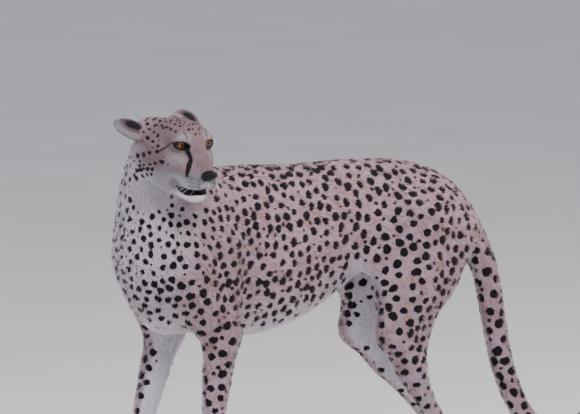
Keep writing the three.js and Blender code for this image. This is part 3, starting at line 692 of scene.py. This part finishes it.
TEAR_LINE = [[19, 10, -4], [19, 18, -9], [18.5, 28, -22], [25, 35, -38], [28, 38, -49], [29.5, 37, -57]]
OUTER_LINE = [[45, 6, 4], [49, -6, -3], [54, -13, -10], [61, -21, -18]]
BROW_STROKE = [[25, 11, 25], [23.5, 18, 17], [22, 20, 11]]
LOWER_LIP = [[36, 12, -84], [27, 24, -94], [17, 38, -95], [0, 46, -93]]
FACE_LINES = [
    (TEAR_LINE, [4.2, 4.8, 5.1, 5.3, 4.9, 2.8]),
    (OUTER_LINE, [1.7, 1.1, 2.0, 1.5]),
    (BROW_STROKE, [1.5, 1.3, 0.8]),
    (LOWER_LIP, [2.4, 3.0, 2.8, 2.4]),
]
for s in (1, -1):
    for points, half_widths in FACE_LINES:
        add_line([[s * x, y, z] for x, y, z in points], half_widths)

# Rows of small spots over the cheeks, brow and crown: a start, an end, how many, how big.
SPOT_ROWS = [
    ([62, -23, -18], [70, -74, -36], 4, 4.9),
    ([58, -8, -36], [69, -71, -54], 5, 4.6),
    ([64, -33, -53], [66, -86, -66], 4, 5.2),
    ([62, -36, -65], [62, -112, -90], 5, 5.0),
    ([58, -8, -26], [54, 4, -40], 2, 2.0),
    ([23, -6, 34], [30, -54, 42], 4, 3.4),
    ([14, 10, 30], [16, -46, 44], 5, 3.0),
    ([5, 22, 22], [6, -40, 42], 6, 2.8),
    ([38, -2, 26], [46, -60, 38], 5, 3.2),
    ([30, -70, 40], [52, -104, 26], 4, 3.6),
    ([12, -60, 44], [18, -104, 36], 4, 3.2),
]


def finder_of(points):
    finder = KDTree(len(points))
    for i, at in enumerate(points):
        finder.insert(at, i)
    finder.balance()
    return finder


SKIN_FINDER = finder_of(POINTS)


def add_spot_near(q, radius, stretch):
    for centre in onto_skin(q):
        i = SKIN_FINDER.find(Vector(centre))[1]
        add_spot(centre, NORMALS[i], LIE[i], radius * rng.uniform(0.8, 1.2), stretch)


for s in (1, -1):
    for start, end, count, size in SPOT_ROWS:
        t = (np.arange(count)[:, None] + rng.uniform(-0.12, 0.12, (count, 1))) / max(count - 1, 1)
        spots = np.array(start, float) + t * (np.array(end, float) - start)
        spots[:, 0] *= s
        add_spot_near(spots + rng.normal(size=spots.shape) * 0.8, size, rng.uniform(1.1, 1.6))

# Rows of whisker spots along the muzzle.
for s in (1, -1):
    for row, z in enumerate((-60, -65, -70, -75)):
        for column in range(6):
            place = [s * (17 + 2.6 * column), 64 - 4.6 * column - row, z + 0.5 * column]
            add_spot_near(place, 1.25, 1.7)

UNMARKED = 40.0  # mm, further from a marking than any fade reaches
RINGS = [(0.735, 0.012), (0.795, 0.015), (0.86, 0.02), (0.92, 0.018)]  # middle, half-width
TAIL_LENGTH = length_of(np.diff(TAIL_CURVE, axis=0)).sum()


def tail_share(p):
    """How far along the tail a point lies, 0 to 1."""
    index, way = along_curve(p, TAIL_CURVE)
    return index / (len(TAIL_CURVE) - 1) + ((p - TAIL_CURVE[index]) * way).sum(1) / TAIL_LENGTH


def marks_at(p):
    """The signed distance in mm to the nearest marking's edge: negative inside the black."""
    mark = np.full(len(p), UNMARKED)
    finder = finder_of(p)

    def near(centre, reach):
        return np.array([index for _, index, _ in finder.find_range(Vector(centre), reach)], int)

    def add(where, edge):
        mark[where] = np.minimum(mark[where], edge)

    share = tail_share(p)
    for centre, normal, lie, radius, stretch, turns in SPOTS:
        index = near(centre, radius * 1.3 + 7)
        across = np.cross(normal, lie)
        offset = p[index] - centre
        a, b, n = offset @ lie / sqrt(stretch), offset @ across * sqrt(stretch), offset @ normal
        angle = np.arctan2(b, a)
        waves = 0.08 * np.cos(2 * angle + turns[0]) + 0.06 * np.cos(3 * angle + turns[1])
        edge = radius * (1 + waves + 0.035 * np.cos(5 * angle + turns[2]))
        add(index, np.sqrt(a * a + b * b + n * n) - edge)
    tail_end = (share > 0.71) & (p[:, 1] > 560) & (p[:, 2] < 300)
    mark[tail_end] = UNMARKED
    for middle, half in RINGS:
        ring = (np.abs(share - middle) - half) * TAIL_LENGTH
        add(tail_end, ring[tail_end])
    for a, b, ra, rb in STROKES:
        index = near((a + b) / 2, np.linalg.norm(b - a) / 2 + max(ra, rb) + 6)
        add(index, taper(0, a, b, ra, rb).distance(p[index]))
    q = to_head(p)
    for s in (1, -1):  # dark rims of the lids
        opening = egg(0, [s * (EYE.out - 1), 14, -1.2], [14, 18, 5.8], 0, -s * 14, -s * EYE.tilt)
        rim = opening.distance(q) - 3.6
        at_eye = length_of(q - [s * EYE.out, 8, 0]) < 26
        add(at_eye, rim[at_eye])
    for axes, base in EAR_AXES.values():  # a black patch on the back of each ear
        e = (q - base) @ axes
        patch = (np.sqrt((e[:, 0] / 14) ** 2 + ((e[:, 1] - 27) / 17) ** 2) - 1) * 4.5
        behind = (length_of(e - [0, 24, 0]) < 50) & (e[:, 2] > 0)
        add(behind, patch[behind])
    return mark


MARK = marks_at(POINTS)
TAIL_SHARE = tail_share(POINTS)

# ---- other colours, painted shade and a painted highlight
ON_NOSE = blob(IN_HEAD, NOSE.centre, NOSE.radii + [2, 2, 0], 1.14, 1.02)
IN_MOUTH = blob(IN_HEAD, [0, 36, -90.5], [32, 45, 5.5], 1.05, 0.9)
LEATHER = np.maximum(ON_NOSE * ramp(IN_HEAD[:, 1], 60, 66), np.maximum(ramp(HEIGHT, 12, 6), IN_MOUTH))
UNDER_EYE = blob(IN_MIRROR, [35, 6, -28], [30, 30, 24])
OVER_EYE = blob(IN_MIRROR, [27, 16, 14], [19, 20, 14])
EAR_RIM = np.maximum(*[
    ramp(np.hypot(e[:, 0] / 31, (e[:, 1] - 24) / 40), 0.55, 0.9) * (length_of(e - [0, 24, 0]) < 52)
    for e in EAR_PLACES.values()
])
PALE_HEAD = (
    ramp(IN_HEAD[:, 2], -38, -72)
    + 0.4 * UNDER_EYE
    + 0.7 * OVER_EYE
    + blob(IN_HEAD, [0, 50, -76], [34, 36, 22])
    + 0.75 * ANY_EAR * EAR_RIM
).clip(0, 1)
ON_HINDLEG = WEIGHTS["left_hind"] + WEIGHTS["right_hind"]
PALE = (
    ON_HEAD * PALE_HEAD
    + ON_TRUNK * np.maximum(ramp(NORMALS[:, 2], -0.2, -0.8), 0.55 * ramp(NORMALS[:, 1], -0.35, -0.9))
    + ON_NECK * 0.65 * ramp(NORMALS[:, 1], 0.25, -0.6)
    + ON_LEG * np.maximum(ramp(NORMALS[:, 0] * SIDE, -0.05, -0.7), 0.35 * LEG_FALL)
    + ON_HINDLEG * ramp(NORMALS[:, 1], 0.45, 0.9) * ramp(HEIGHT, 640, 540)
    + ON_TAIL * np.maximum(0.6 * ramp(NORMALS[:, 2], -0.1, -0.7), ramp(TAIL_SHARE, 0.7, 0.74))
    + ON_TAIL * ramp(TAIL_SHARE, 0.93, 0.95)
).clip(0, 1)
WARM = ON_HEAD * ramp(IN_HEAD[:, 2], -16, 14) * (1 - ANY_EAR)
WARM = np.clip((WARM + 0.5 * ON_TRUNK * ramp(NORMALS[:, 2], 0.3, 0.9)) * (1 - PALE), 0, 1)
# Painted shade in the fold at each corner of the mouth, a darker brown.
MOUTH_CORNER_SHADE = blob(IN_MIRROR, [38, 10, -76], [15, 20, 19])
CHIN = ON_HEAD * ramp(IN_HEAD[:, 2], -90, -100) * ramp(IN_HEAD[:, 1], -10, 10)
# Painted shade over the head, full from a little behind the eyes forward and fading towards the back,
# deeper on the ears inside their pale rims.
SHADED = np.maximum(ramp(IN_HEAD[:, 1], -110, -60), ANY_EAR * (1.75 - 0.4 * EAR_RIM))
# A painted highlight on the front of the upper lip.
LIP_FRONT = ON_HEAD * blob(IN_HEAD, [0, 72, -76], [20, 22, 15])
# Painted shade on the muzzle, the cheeks, the temples and the shoulder.
MUZZLE = ON_HEAD * blob(IN_HEAD, [0, 52, -66], [48, 60, 30]) * (1 - CHIN)
CHEEK = ON_HEAD * blob(IN_MIRROR, [60, -24, -40], [44, 62, 44])
TEMPLE = ON_HEAD * blob(IN_MIRROR, [56, -44, 6], [52, 66, 48]) * (1 - ANY_EAR)
SHOULDER = (ON_TRUNK + ON_LEG) * blob(POINTS, [100, -250, 650], [200, 170, 260])
# The shade look scales the coat's brightness: painted shade from the masks above and under the jaw, the
# chin made lighter, and the painted highlight on the lip.
SHADE = 1 - 0.43 * ON_HEAD * SHADED - 0.24 * MUZZLE - 0.06 * CHEEK - 0.1 * TEMPLE
SHADE = SHADE + 0.7 * CHIN + 0.6 * LIP_FRONT - 0.12 * SHOULDER - 0.17 * THROAT


# ---- making meshes
def placed(name, data):
    ob = bpy.data.objects.new(name, data)
    bpy.context.scene.collection.objects.link(ob)
    return ob


def to_frame(p):
    return (np.asarray(p, float) - ORIGIN) * MM


def make_mesh(name, points, faces, **attributes):
    """An object from body coordinates and faces that all have the same number of corners."""
    mesh = bpy.data.meshes.new(name)
    count, sides = faces.shape
    mesh.vertices.add(len(points))
    mesh.vertices.foreach_set("co", to_frame(points).astype(np.float32).ravel())
    mesh.loops.add(count * sides)
    mesh.loops.foreach_set("vertex_index", faces.astype(np.int32).ravel())
    mesh.polygons.add(count)
    mesh.polygons.foreach_set("loop_start", np.arange(0, count * sides, sides, dtype=np.int32))
    mesh.polygons.foreach_set("use_smooth", np.full(count, True))
    mesh.update(calc_edges=True)
    for key, values in attributes.items():
        layer = mesh.attributes.new(key, "FLOAT", "POINT")
        layer.data.foreach_set("value", np.asarray(values, np.float32))
    mesh.validate()
    piece = placed(name, mesh)
    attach(piece, "root")
    return piece


def closed_rings(rings, first, last):
    """Points and triangles of rings of points, closed by a point before and a point after them."""
    count, sides = rings.shape[:2]
    base, tip = count * sides, count * sides + 1
    faces = []
    for k in range(sides):
        n = (k + 1) % sides
        faces.append([base, n, k])
        for low in range(0, base - sides, sides):
            a, b, c, d = low + k, low + n, low + sides + n, low + sides + k
            faces += [[a, b, c], [a, c, d]]
        faces.append([base - sides + k, base - sides + n, tip])
    return np.vstack([rings.reshape(-1, 3), first, last]), np.array(faces)


def tube(line, radii, sides, flat=1.0):
    """A closed tapered tube that ends in a point."""
    way = unit(np.gradient(line, axis=0))
    up = np.tile([0, 0, 1.0], (len(line), 1))
    up[np.abs(way[:, 2]) > 0.9] = [0, 1, 0]
    across = unit(np.cross(way, up))
    up = np.cross(across, way)
    turn = 2 * pi * np.arange(sides)[:, None] / sides
    ring = flat * np.cos(turn) * across[:, None] + np.sin(turn) * up[:, None]
    return closed_rings(line[:-1, None] + ring[:-1] * radii[:-1, None, None], line[0], line[-1])


def joined(parts):
    points, faces, start = [], [], 0
    for p, f in parts:
        points.append(p)
        faces.append(f + start)
        start += len(p)
    return np.vstack(points), np.vstack(faces)


# ---- materials
class Nodes:
    """A node material, built a node at a time."""

    def __init__(self, name):
        self.material = bpy.data.materials.new(name)
        self.material.use_nodes = True
        self.tree = self.material.node_tree
        self.shader = self.tree.nodes["Principled BSDF"]

    def add(self, kind, inputs=(), **settings):
        node = self.tree.nodes.new("ShaderNode" + kind)
        for key, value in settings.items():
            setattr(node, key, value)
        for key, value in dict(inputs).items():
            self.link(value, node.inputs[key])
        return node.outputs

    def link(self, value, socket):
        if isinstance(value, bpy.types.NodeSocket):
            self.tree.links.new(value, socket)
        elif isinstance(value, tuple) and len(value) == 3 and socket.type == "RGBA":
            socket.default_value = (*value, 1)
        else:
            socket.default_value = value

    def attribute(self, name):
        return self.add("Attribute", attribute_name=name)["Fac"]

    def noise(self, scale, detail=3.0):
        at = self.add("TexCoord")["Object"]
        return self.add("TexNoise", {"Vector": at, "Scale": scale, "Detail": detail})["Fac"]

    def math(self, operation, a, b, c=0.0):
        return self.add("Math", {0: a, 1: b, 2: c}, operation=operation)[0]

    def smooth(self, value, low, high, start=0.0, stop=1.0):
        if low > high:
            low, high, start, stop = high, low, stop, start
        ranges = {"Value": value, "From Min": low, "From Max": high, "To Min": start, "To Max": stop}
        return self.add("MapRange", ranges, interpolation_type="SMOOTHSTEP")["Result"]

    def mix(self, factor, a, b, blend="MIX"):
        node = self.tree.nodes.new("ShaderNodeMix")
        node.data_type, node.blend_type = "RGBA", blend
        self.link(factor, node.inputs[0])
        self.link(a, node.inputs[6])
        self.link(b, node.inputs[7])
        return node.outputs[2]

    def bump(self, height, distance, strength):
        return self.add("Bump", {"Height": height, "Distance": distance, "Strength": strength})["Normal"]

    def finish(self, **sockets):
        for key, value in sockets.items():
            self.link(value, self.shader.inputs[key.replace("_", " ")])
        return self.material


TAN = (0.44, 0.308, 0.378)
TAN_DEEP = (0.36, 0.237, 0.245)
WARM_TAN = (0.42, 0.282, 0.322)
CREAM = (0.63, 0.59, 0.68)
# The brown of the painted shade at the mouth corners.
MOUTH_CORNER_SHADE_BROWN = (0.2, 0.1, 0.085)
INK = (0.011, 0.009, 0.014)
LEATHER_BLACK = (0.004, 0.003, 0.0035)


def coat_material():
    n = Nodes("cheetah_coat")
    pale, warm, tip = [n.attribute(a) for a in ("pale", "warm", "tip")]
    fur = n.mix(n.smooth(n.noise(34, 5), 0.38, 0.66), TAN, TAN_DEEP)
    fur = n.mix(warm, fur, WARM_TAN)
    fur = n.mix(pale, fur, CREAM)
    # Painted shade at the mouth corners.
    fur = n.mix(n.math("MULTIPLY", n.attribute("mouth_corner_shade"), 0.55), fur, MOUTH_CORNER_SHADE_BROWN)
    streak = n.smooth(n.noise(320, 4), 0.32, 0.68, 0.8, 1.14)
    # Painted shade within the coat: darker towards each tuft's root and on the skin between tufts, times
    # the shade look; the streaks are random tone.
    light = n.math("MULTIPLY", n.math("MULTIPLY_ADD", tip, 0.3, 0.8), n.attribute("shade"))
    light = n.math("MULTIPLY", light, streak)
    fur = n.mix(1.0, fur, n.add("CombineColor", {i: light for i in range(3)})[0], "MULTIPLY")
    edge = n.math("ADD", n.attribute("mark"), n.smooth(n.noise(420, 2), 0.25, 0.75, -0.6, 0.6))
    fur = n.mix(n.smooth(edge, 0.7, -0.7), fur, INK)
    leather = n.attribute("leather")
    colour = n.mix(leather, fur, LEATHER_BLACK)
    furry = n.math("SUBTRACT", 1.0, n.math("MULTIPLY", leather, 0.4))
    grain = n.math("MULTIPLY", n.noise(1500, 2), furry)
    rough, bumps = n.smooth(leather, 0.0, 1.0, 0.75, 0.45), n.bump(grain, 0.0006, 0.6)
    plain = {"Specular_IOR_Level": 0.12, "Sheen_Weight": 0.04, "Sheen_Roughness": 0.5}
    return n.finish(Base_Color=colour, Roughness=rough, Normal=bumps, **plain)


COAT = coat_material()

# ---- skin
DEPTH = coat_depth(POINTS)
# The darker brown at the mouth corners is painted shade; the shade look holds painted shade and a
# painted highlight.
LOOKS = {"pale": PALE, "warm": WARM, "mouth_corner_shade": MOUTH_CORNER_SHADE, "shade": SHADE}
# Painted shade within the coat: the skin between the tufts is darkened like a tuft's root.
SKIN_TIP = np.full(len(POINTS), 0.25)  # how light the skin is between the tufts, 0 root to 1 tip
skin = make_mesh("skin", POINTS, QUADS, **LOOKS, mark=MARK, leather=LEATHER, tip=SKIN_TIP)
skin.data.materials.append(COAT)
FLESH = [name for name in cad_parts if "claw" not in name and not name.endswith("_eye")]
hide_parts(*FLESH)

# ---- tufts of fur
LENGTH = np.clip(1.45 * DEPTH * (1 + 0.2 * ON_NECK + 0.25 * BELLY), 2.4, 12)
LENGTH = LENGTH * (1 - 0.25 * ON_HEAD - 0.3 * ON_LEG * ramp(HEIGHT, 260, 60))
LENGTH = LENGTH * (1 - ANY_EAR) + 4.0 * ANY_EAR
FURRED = np.maximum(ramp(DEPTH, 0.75, 1.1), 0.8 * ANY_EAR) * (LEATHER < 0.3)
TUFT_AREA = np.maximum(0.25 * LENGTH, 0.9 + 0.9 * (1 - ON_HEAD)) ** 2
TUFT_COUNT = 242000
PER_PIECE = 32000
PATCH = 0.003  # how wide a tuft is on its bake map
# Five points to a tuft: the root, three round its thickest place, and the tip.
# Each has how far along it is, how high, how far to a side and how far up.
THICKEST = [(0.4, 0.7, side, up) for side, up in ((-1, -0.5), (1, -0.5), (0, 0.8))]
TUFT_PLACES = [(0, -0.1, 0, 0), *THICKEST, (1, 1, 0, 0)]
TUFT_FACES = np.array([[0, 1, 2], [0, 2, 3], [0, 3, 1], [4, 2, 1], [4, 3, 2], [4, 1, 3]])
PER_TUFT = len(TUFT_PLACES)


def grow_tufts():
    places = scattered(TUFT_COUNT, FURRED / TUFT_AREA)

    def read(values):
        return on_skin(*places, values)

    root, normal = read(POINTS), unit(read(NORMALS))
    lie = laid_on(read(LIE) + rng.normal(size=root.shape) * 0.16, normal)
    across_way = np.cross(lie, normal)
    depth = read(DEPTH)
    size = rng.uniform(0.75, 1.2, TUFT_COUNT)
    length = read(LENGTH) * size
    wide = length * rng.uniform(0.14, 0.2, TUFT_COUNT)
    lift = np.maximum(depth, 0.8) * rng.uniform(0.65, 1.05, TUFT_COUNT)
    curl = rng.normal(size=TUFT_COUNT) * 0.1 * length
    thick = np.maximum(0.24 * wide, 0.2)
    points, normals, marks, bake_places = [], [], [], []
    for t, high, side, up in TUFT_PLACES:
        middle = root + (t * length)[:, None] * lie + (t * t * curl)[:, None] * across_way
        above = (high * lift + up * thick)[:, None] * normal
        points.append(middle + above + (side / 2 * wide)[:, None] * across_way)
        normals.append(unit(normal + 0.25 * side * across_way + 0.1 * lie))
        marks.append(marks[-1] if 0 < t < 1 and len(marks) > 1 else marks_at(middle))
        bake_places.append([side / 2 + 0.1 * t, t - 0.5 + 0.1 * up])
    uneven = rng.normal(1.0, 0.06, TUFT_COUNT).clip(0.82, 1.18)
    values = {key: np.repeat(read(v)[:, None], PER_TUFT, 1) for key, v in LOOKS.items()}
    values["shade"] *= uneven[:, None]
    values["mark"] = np.stack(marks, 1)
    # Painted shade within the coat: each tuft is darker towards its root.
    values["tip"] = np.tile([0.35 + 0.65 * place[0] for place in TUFT_PLACES], (TUFT_COUNT, 1))
    part = np.stack([read(w) for w in WEIGHTS.values()]).argmax(0)
    points, normals, bake_places = np.stack(points, 1), np.stack(normals, 1), np.array(bake_places)
    return SimpleNamespace(
        points=points, normals=normals, bake_places=bake_places, values=values, part=part, root=root
    )


def chart(part, p):
    """A part's own skin unwrapped to a unit square: round it and along it."""
    if part == "head":
        q = unit(to_head(p) - [0, -30, -35])
        round_it, along_it = np.arctan2(q[:, 0], q[:, 1]), np.arcsin(q[:, 2].clip(-1, 1)) / pi + 0.5
    elif part == "trunk":
        round_it, along_it = np.arctan2(p[:, 0], p[:, 2] - 640), (p[:, 1] + 420) / 900
    elif part == "tail":
        index, way = along_curve(p, TAIL_CURVE)
        offset = p - TAIL_CURVE[index]
        round_it = np.arctan2(offset[:, 0], (np.cross(way, [1, 0, 0]) * offset).sum(1))
        along_it = tail_share(p)
    else:
        line = smooth_line(NECK_LINE if part == "neck" else LEGS[part].joints, 12)
        index, _ = along_curve(p, line)
        offset = p - line[index]
        round_it, along_it = np.arctan2(offset[:, 0], offset[:, 1]), p[:, 2]
        along_it = (along_it - along_it.min()) / np.ptp(along_it)
    return np.stack([round_it / (2 * pi) + 0.5, along_it], 1).clip(0.004, 0.996)


def coat_piece(name, tufts, chosen, part):
    faces = (TUFT_FACES + PER_TUFT * np.arange(len(chosen))[:, None, None]).reshape(-1, 3)
    values = {key: v[chosen].ravel() for key, v in tufts.values.items()}
    points = tufts.points[chosen].reshape(-1, 3)
    piece = make_mesh(name, points, faces, leather=np.zeros(len(points)), **values)
    middle = chart(part, tufts.root[chosen])
    place = middle[:, None] + PATCH * tufts.bake_places[None]
    layer = piece.data.uv_layers.new(name="OFBake")
    layer.uv.foreach_set("vector", place.reshape(-1, 2)[faces.ravel()].astype(np.float32).ravel())
    piece.data.normals_split_custom_set_from_vertices(tufts.normals[chosen].reshape(-1, 3))
    piece.data.materials.append(COAT)


TUFTS = grow_tufts()
for number, part in enumerate(WEIGHTS):
    members = np.flatnonzero(TUFTS.part == number)
    pieces = ceil(len(members) / PER_PIECE)
    for k in range(pieces):
        coat_piece(f"coat_{part}_{k + 1}", TUFTS, members[k::pieces], part)


# ---- eyes
IRIS = 7.5
PUPIL = 2.9


def eyeball(name, side):
    """A ball with a bulging cornea; rings are closest together over the iris."""
    angles = np.concatenate([np.linspace(0, 0.95, 26), np.linspace(1.02, pi, 18)])[1:-1]
    turn = 2 * pi * np.arange(48) / 48
    bulge = 0.9 * ramp(EYE.radius * np.sin(angles), IRIS + 1.5, 0) * (angles < 1.2)
    radius = EYE.radius - 0.5 + bulge
    out = (radius * np.sin(angles))[:, None]
    y = np.repeat((radius * np.cos(angles))[:, None], 48, 1)
    rings = np.stack([out * np.cos(turn), y, out * np.sin(turn)], -1)
    points, faces = closed_rings(rings, [0, radius[0], 0], [0, 0.5 - EYE.radius, 0])
    from_axis = np.hypot(points[:, 0], points[:, 2])
    from_axis[points[:, 1] < 0] = EYE.radius
    around = np.arctan2(points[:, 2], points[:, 0])
    points = from_head(points + [side * EYE.out, EYE.ahead, 0])
    piece = make_mesh(name, points, faces, off=from_axis, fibre_x=np.cos(around), fibre_y=np.sin(around))
    return piece


def eye_material():
    n = Nodes("cheetah_eye")
    off = n.attribute("off")
    across, up, deep = n.attribute("fibre_x"), n.attribute("fibre_y"), n.math("MULTIPLY", off, 0.05)
    spokes = n.add("CombineXYZ", {0: across, 1: up, 2: deep})
    fibres = n.add("TexNoise", {"Vector": spokes[0], "Scale": 9.0, "Detail": 4.0})["Fac"]
    amber = n.mix(n.smooth(fibres, 0.3, 0.7), (0.18, 0.06, 0.014), (0.075, 0.023, 0.006))
    iris = n.mix(n.smooth(off, 4.4, 7.6), amber, (0.07, 0.02, 0.005))
    iris = n.mix(n.smooth(off, PUPIL + 0.35, PUPIL - 0.25), iris, (0.002, 0.002, 0.002))
    colour = n.mix(n.smooth(off, IRIS - 0.7, IRIS + 0.2), iris, (0.012, 0.008, 0.007))
    wet = {"Specular_IOR_Level": 0.2, "Coat_Weight": 0.25, "Coat_Roughness": 0.02}
    return n.finish(Base_Color=colour, Roughness=0.15, **wet)


EYE_MATERIAL = eye_material()
for name, side in (("right_eye", 1), ("left_eye", -1)):
    ball = eyeball(name + "ball", side)
    ball.data.materials.append(EYE_MATERIAL)
    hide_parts(name)

# ---- claws
CLAW = SimpleNamespace(length=19, radius=3.2, sunk=5, dip=22, height=13)


def claw(leg, across, ahead, height, dip):
    t = np.linspace(0, 1, 9)
    line = np.stack([0 * t, t * CLAW.length, -0.012 * (t * CLAW.length) ** 2], 1)
    points, faces = tube(line, CLAW.radius * (1 - t) ** 0.7, 10, 0.7)
    turn = Euler((radians(-dip), 0, pi + radians(leg.heading))).to_matrix()
    place = foot_place(leg, across, ahead + 30 - CLAW.sunk, height)
    return points @ np.array(turn).T + place, faces


def claw_material():
    n = Nodes("cheetah_claw")
    lines = n.noise(700)
    colour = n.mix(n.smooth(lines, 0.35, 0.65), (0.055, 0.042, 0.034), (0.11, 0.085, 0.068))
    return n.finish(Base_Color=colour, Roughness=0.38, Normal=n.bump(lines, 0.0002, 0.5))


CLAW_MATERIAL = claw_material()
for name, leg_of in LEGS.items():
    claws = [claw(leg_of, across, ahead, CLAW.height, CLAW.dip) for across, ahead in TOES]
    nodes = [f"{name}_claw_{i + 1}" for i in range(4)]
    if not leg_of.hind:
        claws.append(claw(leg_of, -17, -30, 96, 55))
        nodes.append(name.split("_")[0] + "_dewclaw")
    piece = make_mesh(name + "_claws", *joined(claws))
    piece.data.materials.append(CLAW_MATERIAL)
    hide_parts(*nodes)


# ---- whiskers
def whisker(root, way, length, droop):
    t = np.linspace(0, 1, 10)[:, None]
    way = way / np.linalg.norm(way)
    line = root + t * length * way + t**2 * length * droop
    return tube(from_head(line), 0.15 * (1 - t[:, 0]) + 0.04, 5)


WHISKERS = []
for s in (1, -1):
    for row in range(3):
        for column in range(3):
            start = onto_skin([s * (21 + 4 * column), 58 - 7 * column, -64 - 5 * row])[0]
            root = to_head(start) - [s * 0.8, 0, 0]
            way = [s * 0.8, 0.34 - 0.16 * column, -0.05 - 0.15 * row] + rng.normal(size=3) * 0.06
            WHISKERS.append(whisker(root, way, rng.uniform(34, 58), [s * 0.1, -0.28, -0.35]))
    for k in range(2):
        root = to_head(onto_skin([s * (26 + 6 * k), 16, 19])[0])
        way = [s * (0.25 + 0.1 * k), 0.5, 0.75]
        WHISKERS.append(whisker(root, way, rng.uniform(20, 32), [s * 0.2, -0.2, -0.1]))
whiskers = make_mesh("whiskers", *joined(WHISKERS))
hair = Nodes("cheetah_whisker")
hair_tone = hair.mix(hair.smooth(hair.noise(300), 0.3, 0.7), (0.62, 0.58, 0.6), (0.45, 0.42, 0.43))
whiskers.data.materials.append(hair.finish(Base_Color=hair_tone, Roughness=0.4))

# ---- floor, light and camera
floor_mesh = bpy.data.meshes.new("floor")
floor_mesh.from_pydata([(-40, -40, 0), (40, -40, 0), (40, 40, 0), (-40, 40, 0)], [], [(0, 1, 2, 3)])
pale = Nodes("pale_floor")
pale_tone = pale.mix(pale.smooth(pale.noise(3), 0.3, 0.7), (0.8, 0.8, 0.78), (0.84, 0.84, 0.82))
floor_mesh.materials.append(pale.finish(Base_Color=pale_tone, Roughness=0.9))
floor = placed("floor", floor_mesh)

world = bpy.data.worlds.new("studio")
bpy.context.scene.world = world
world.use_nodes = True
background = world.node_tree.nodes["Background"].inputs
background["Color"].default_value = (0.86, 0.88, 1.0, 1)
background["Strength"].default_value = 0.56


def area_light(name, place, size, power, colour):
    lamp = bpy.data.lights.new(name, "AREA")
    lamp.shape, lamp.size, lamp.energy, lamp.color = "DISK", size, power, colour
    ob = placed(name, lamp)
    ob.location = place
    ob.rotation_euler = (Vector((0, 0, 0.6)) - Vector(place)).to_track_quat("-Z", "Y").to_euler()


area_light("key", (3.6, -1.4, 4.2), 2.4, 330, (1.0, 0.97, 0.95))
area_light("fill", (-1.5, -4.5, 2.6), 3.5, 110, (0.95, 0.96, 1.0))
area_light("rim", (2.0, 4.5, 3.6), 2.0, 160, (1.0, 0.86, 0.74))

AZIMUTH, ELEVATION = radians(53), radians(6)
TARGET = Vector(to_frame([0, 0, 696.8]).tolist())
DISTANCE = 18.0
SENSOR = 36.0
PIXELS_WIDE = 580
PIXELS_PER_METRE = 500
toward = Vector((sin(AZIMUTH) * cos(ELEVATION), -cos(AZIMUTH) * cos(ELEVATION), sin(ELEVATION)))
lens = bpy.data.cameras.new("camera")
lens.sensor_width = SENSOR
lens.lens = PIXELS_PER_METRE * DISTANCE * SENSOR / PIXELS_WIDE
lens.clip_end = 200
camera = placed("camera", lens)
camera.location = TARGET + toward * DISTANCE
camera.rotation_euler = (-toward).to_track_quat("-Z", "Y").to_euler()
bpy.context.scene.camera = camera
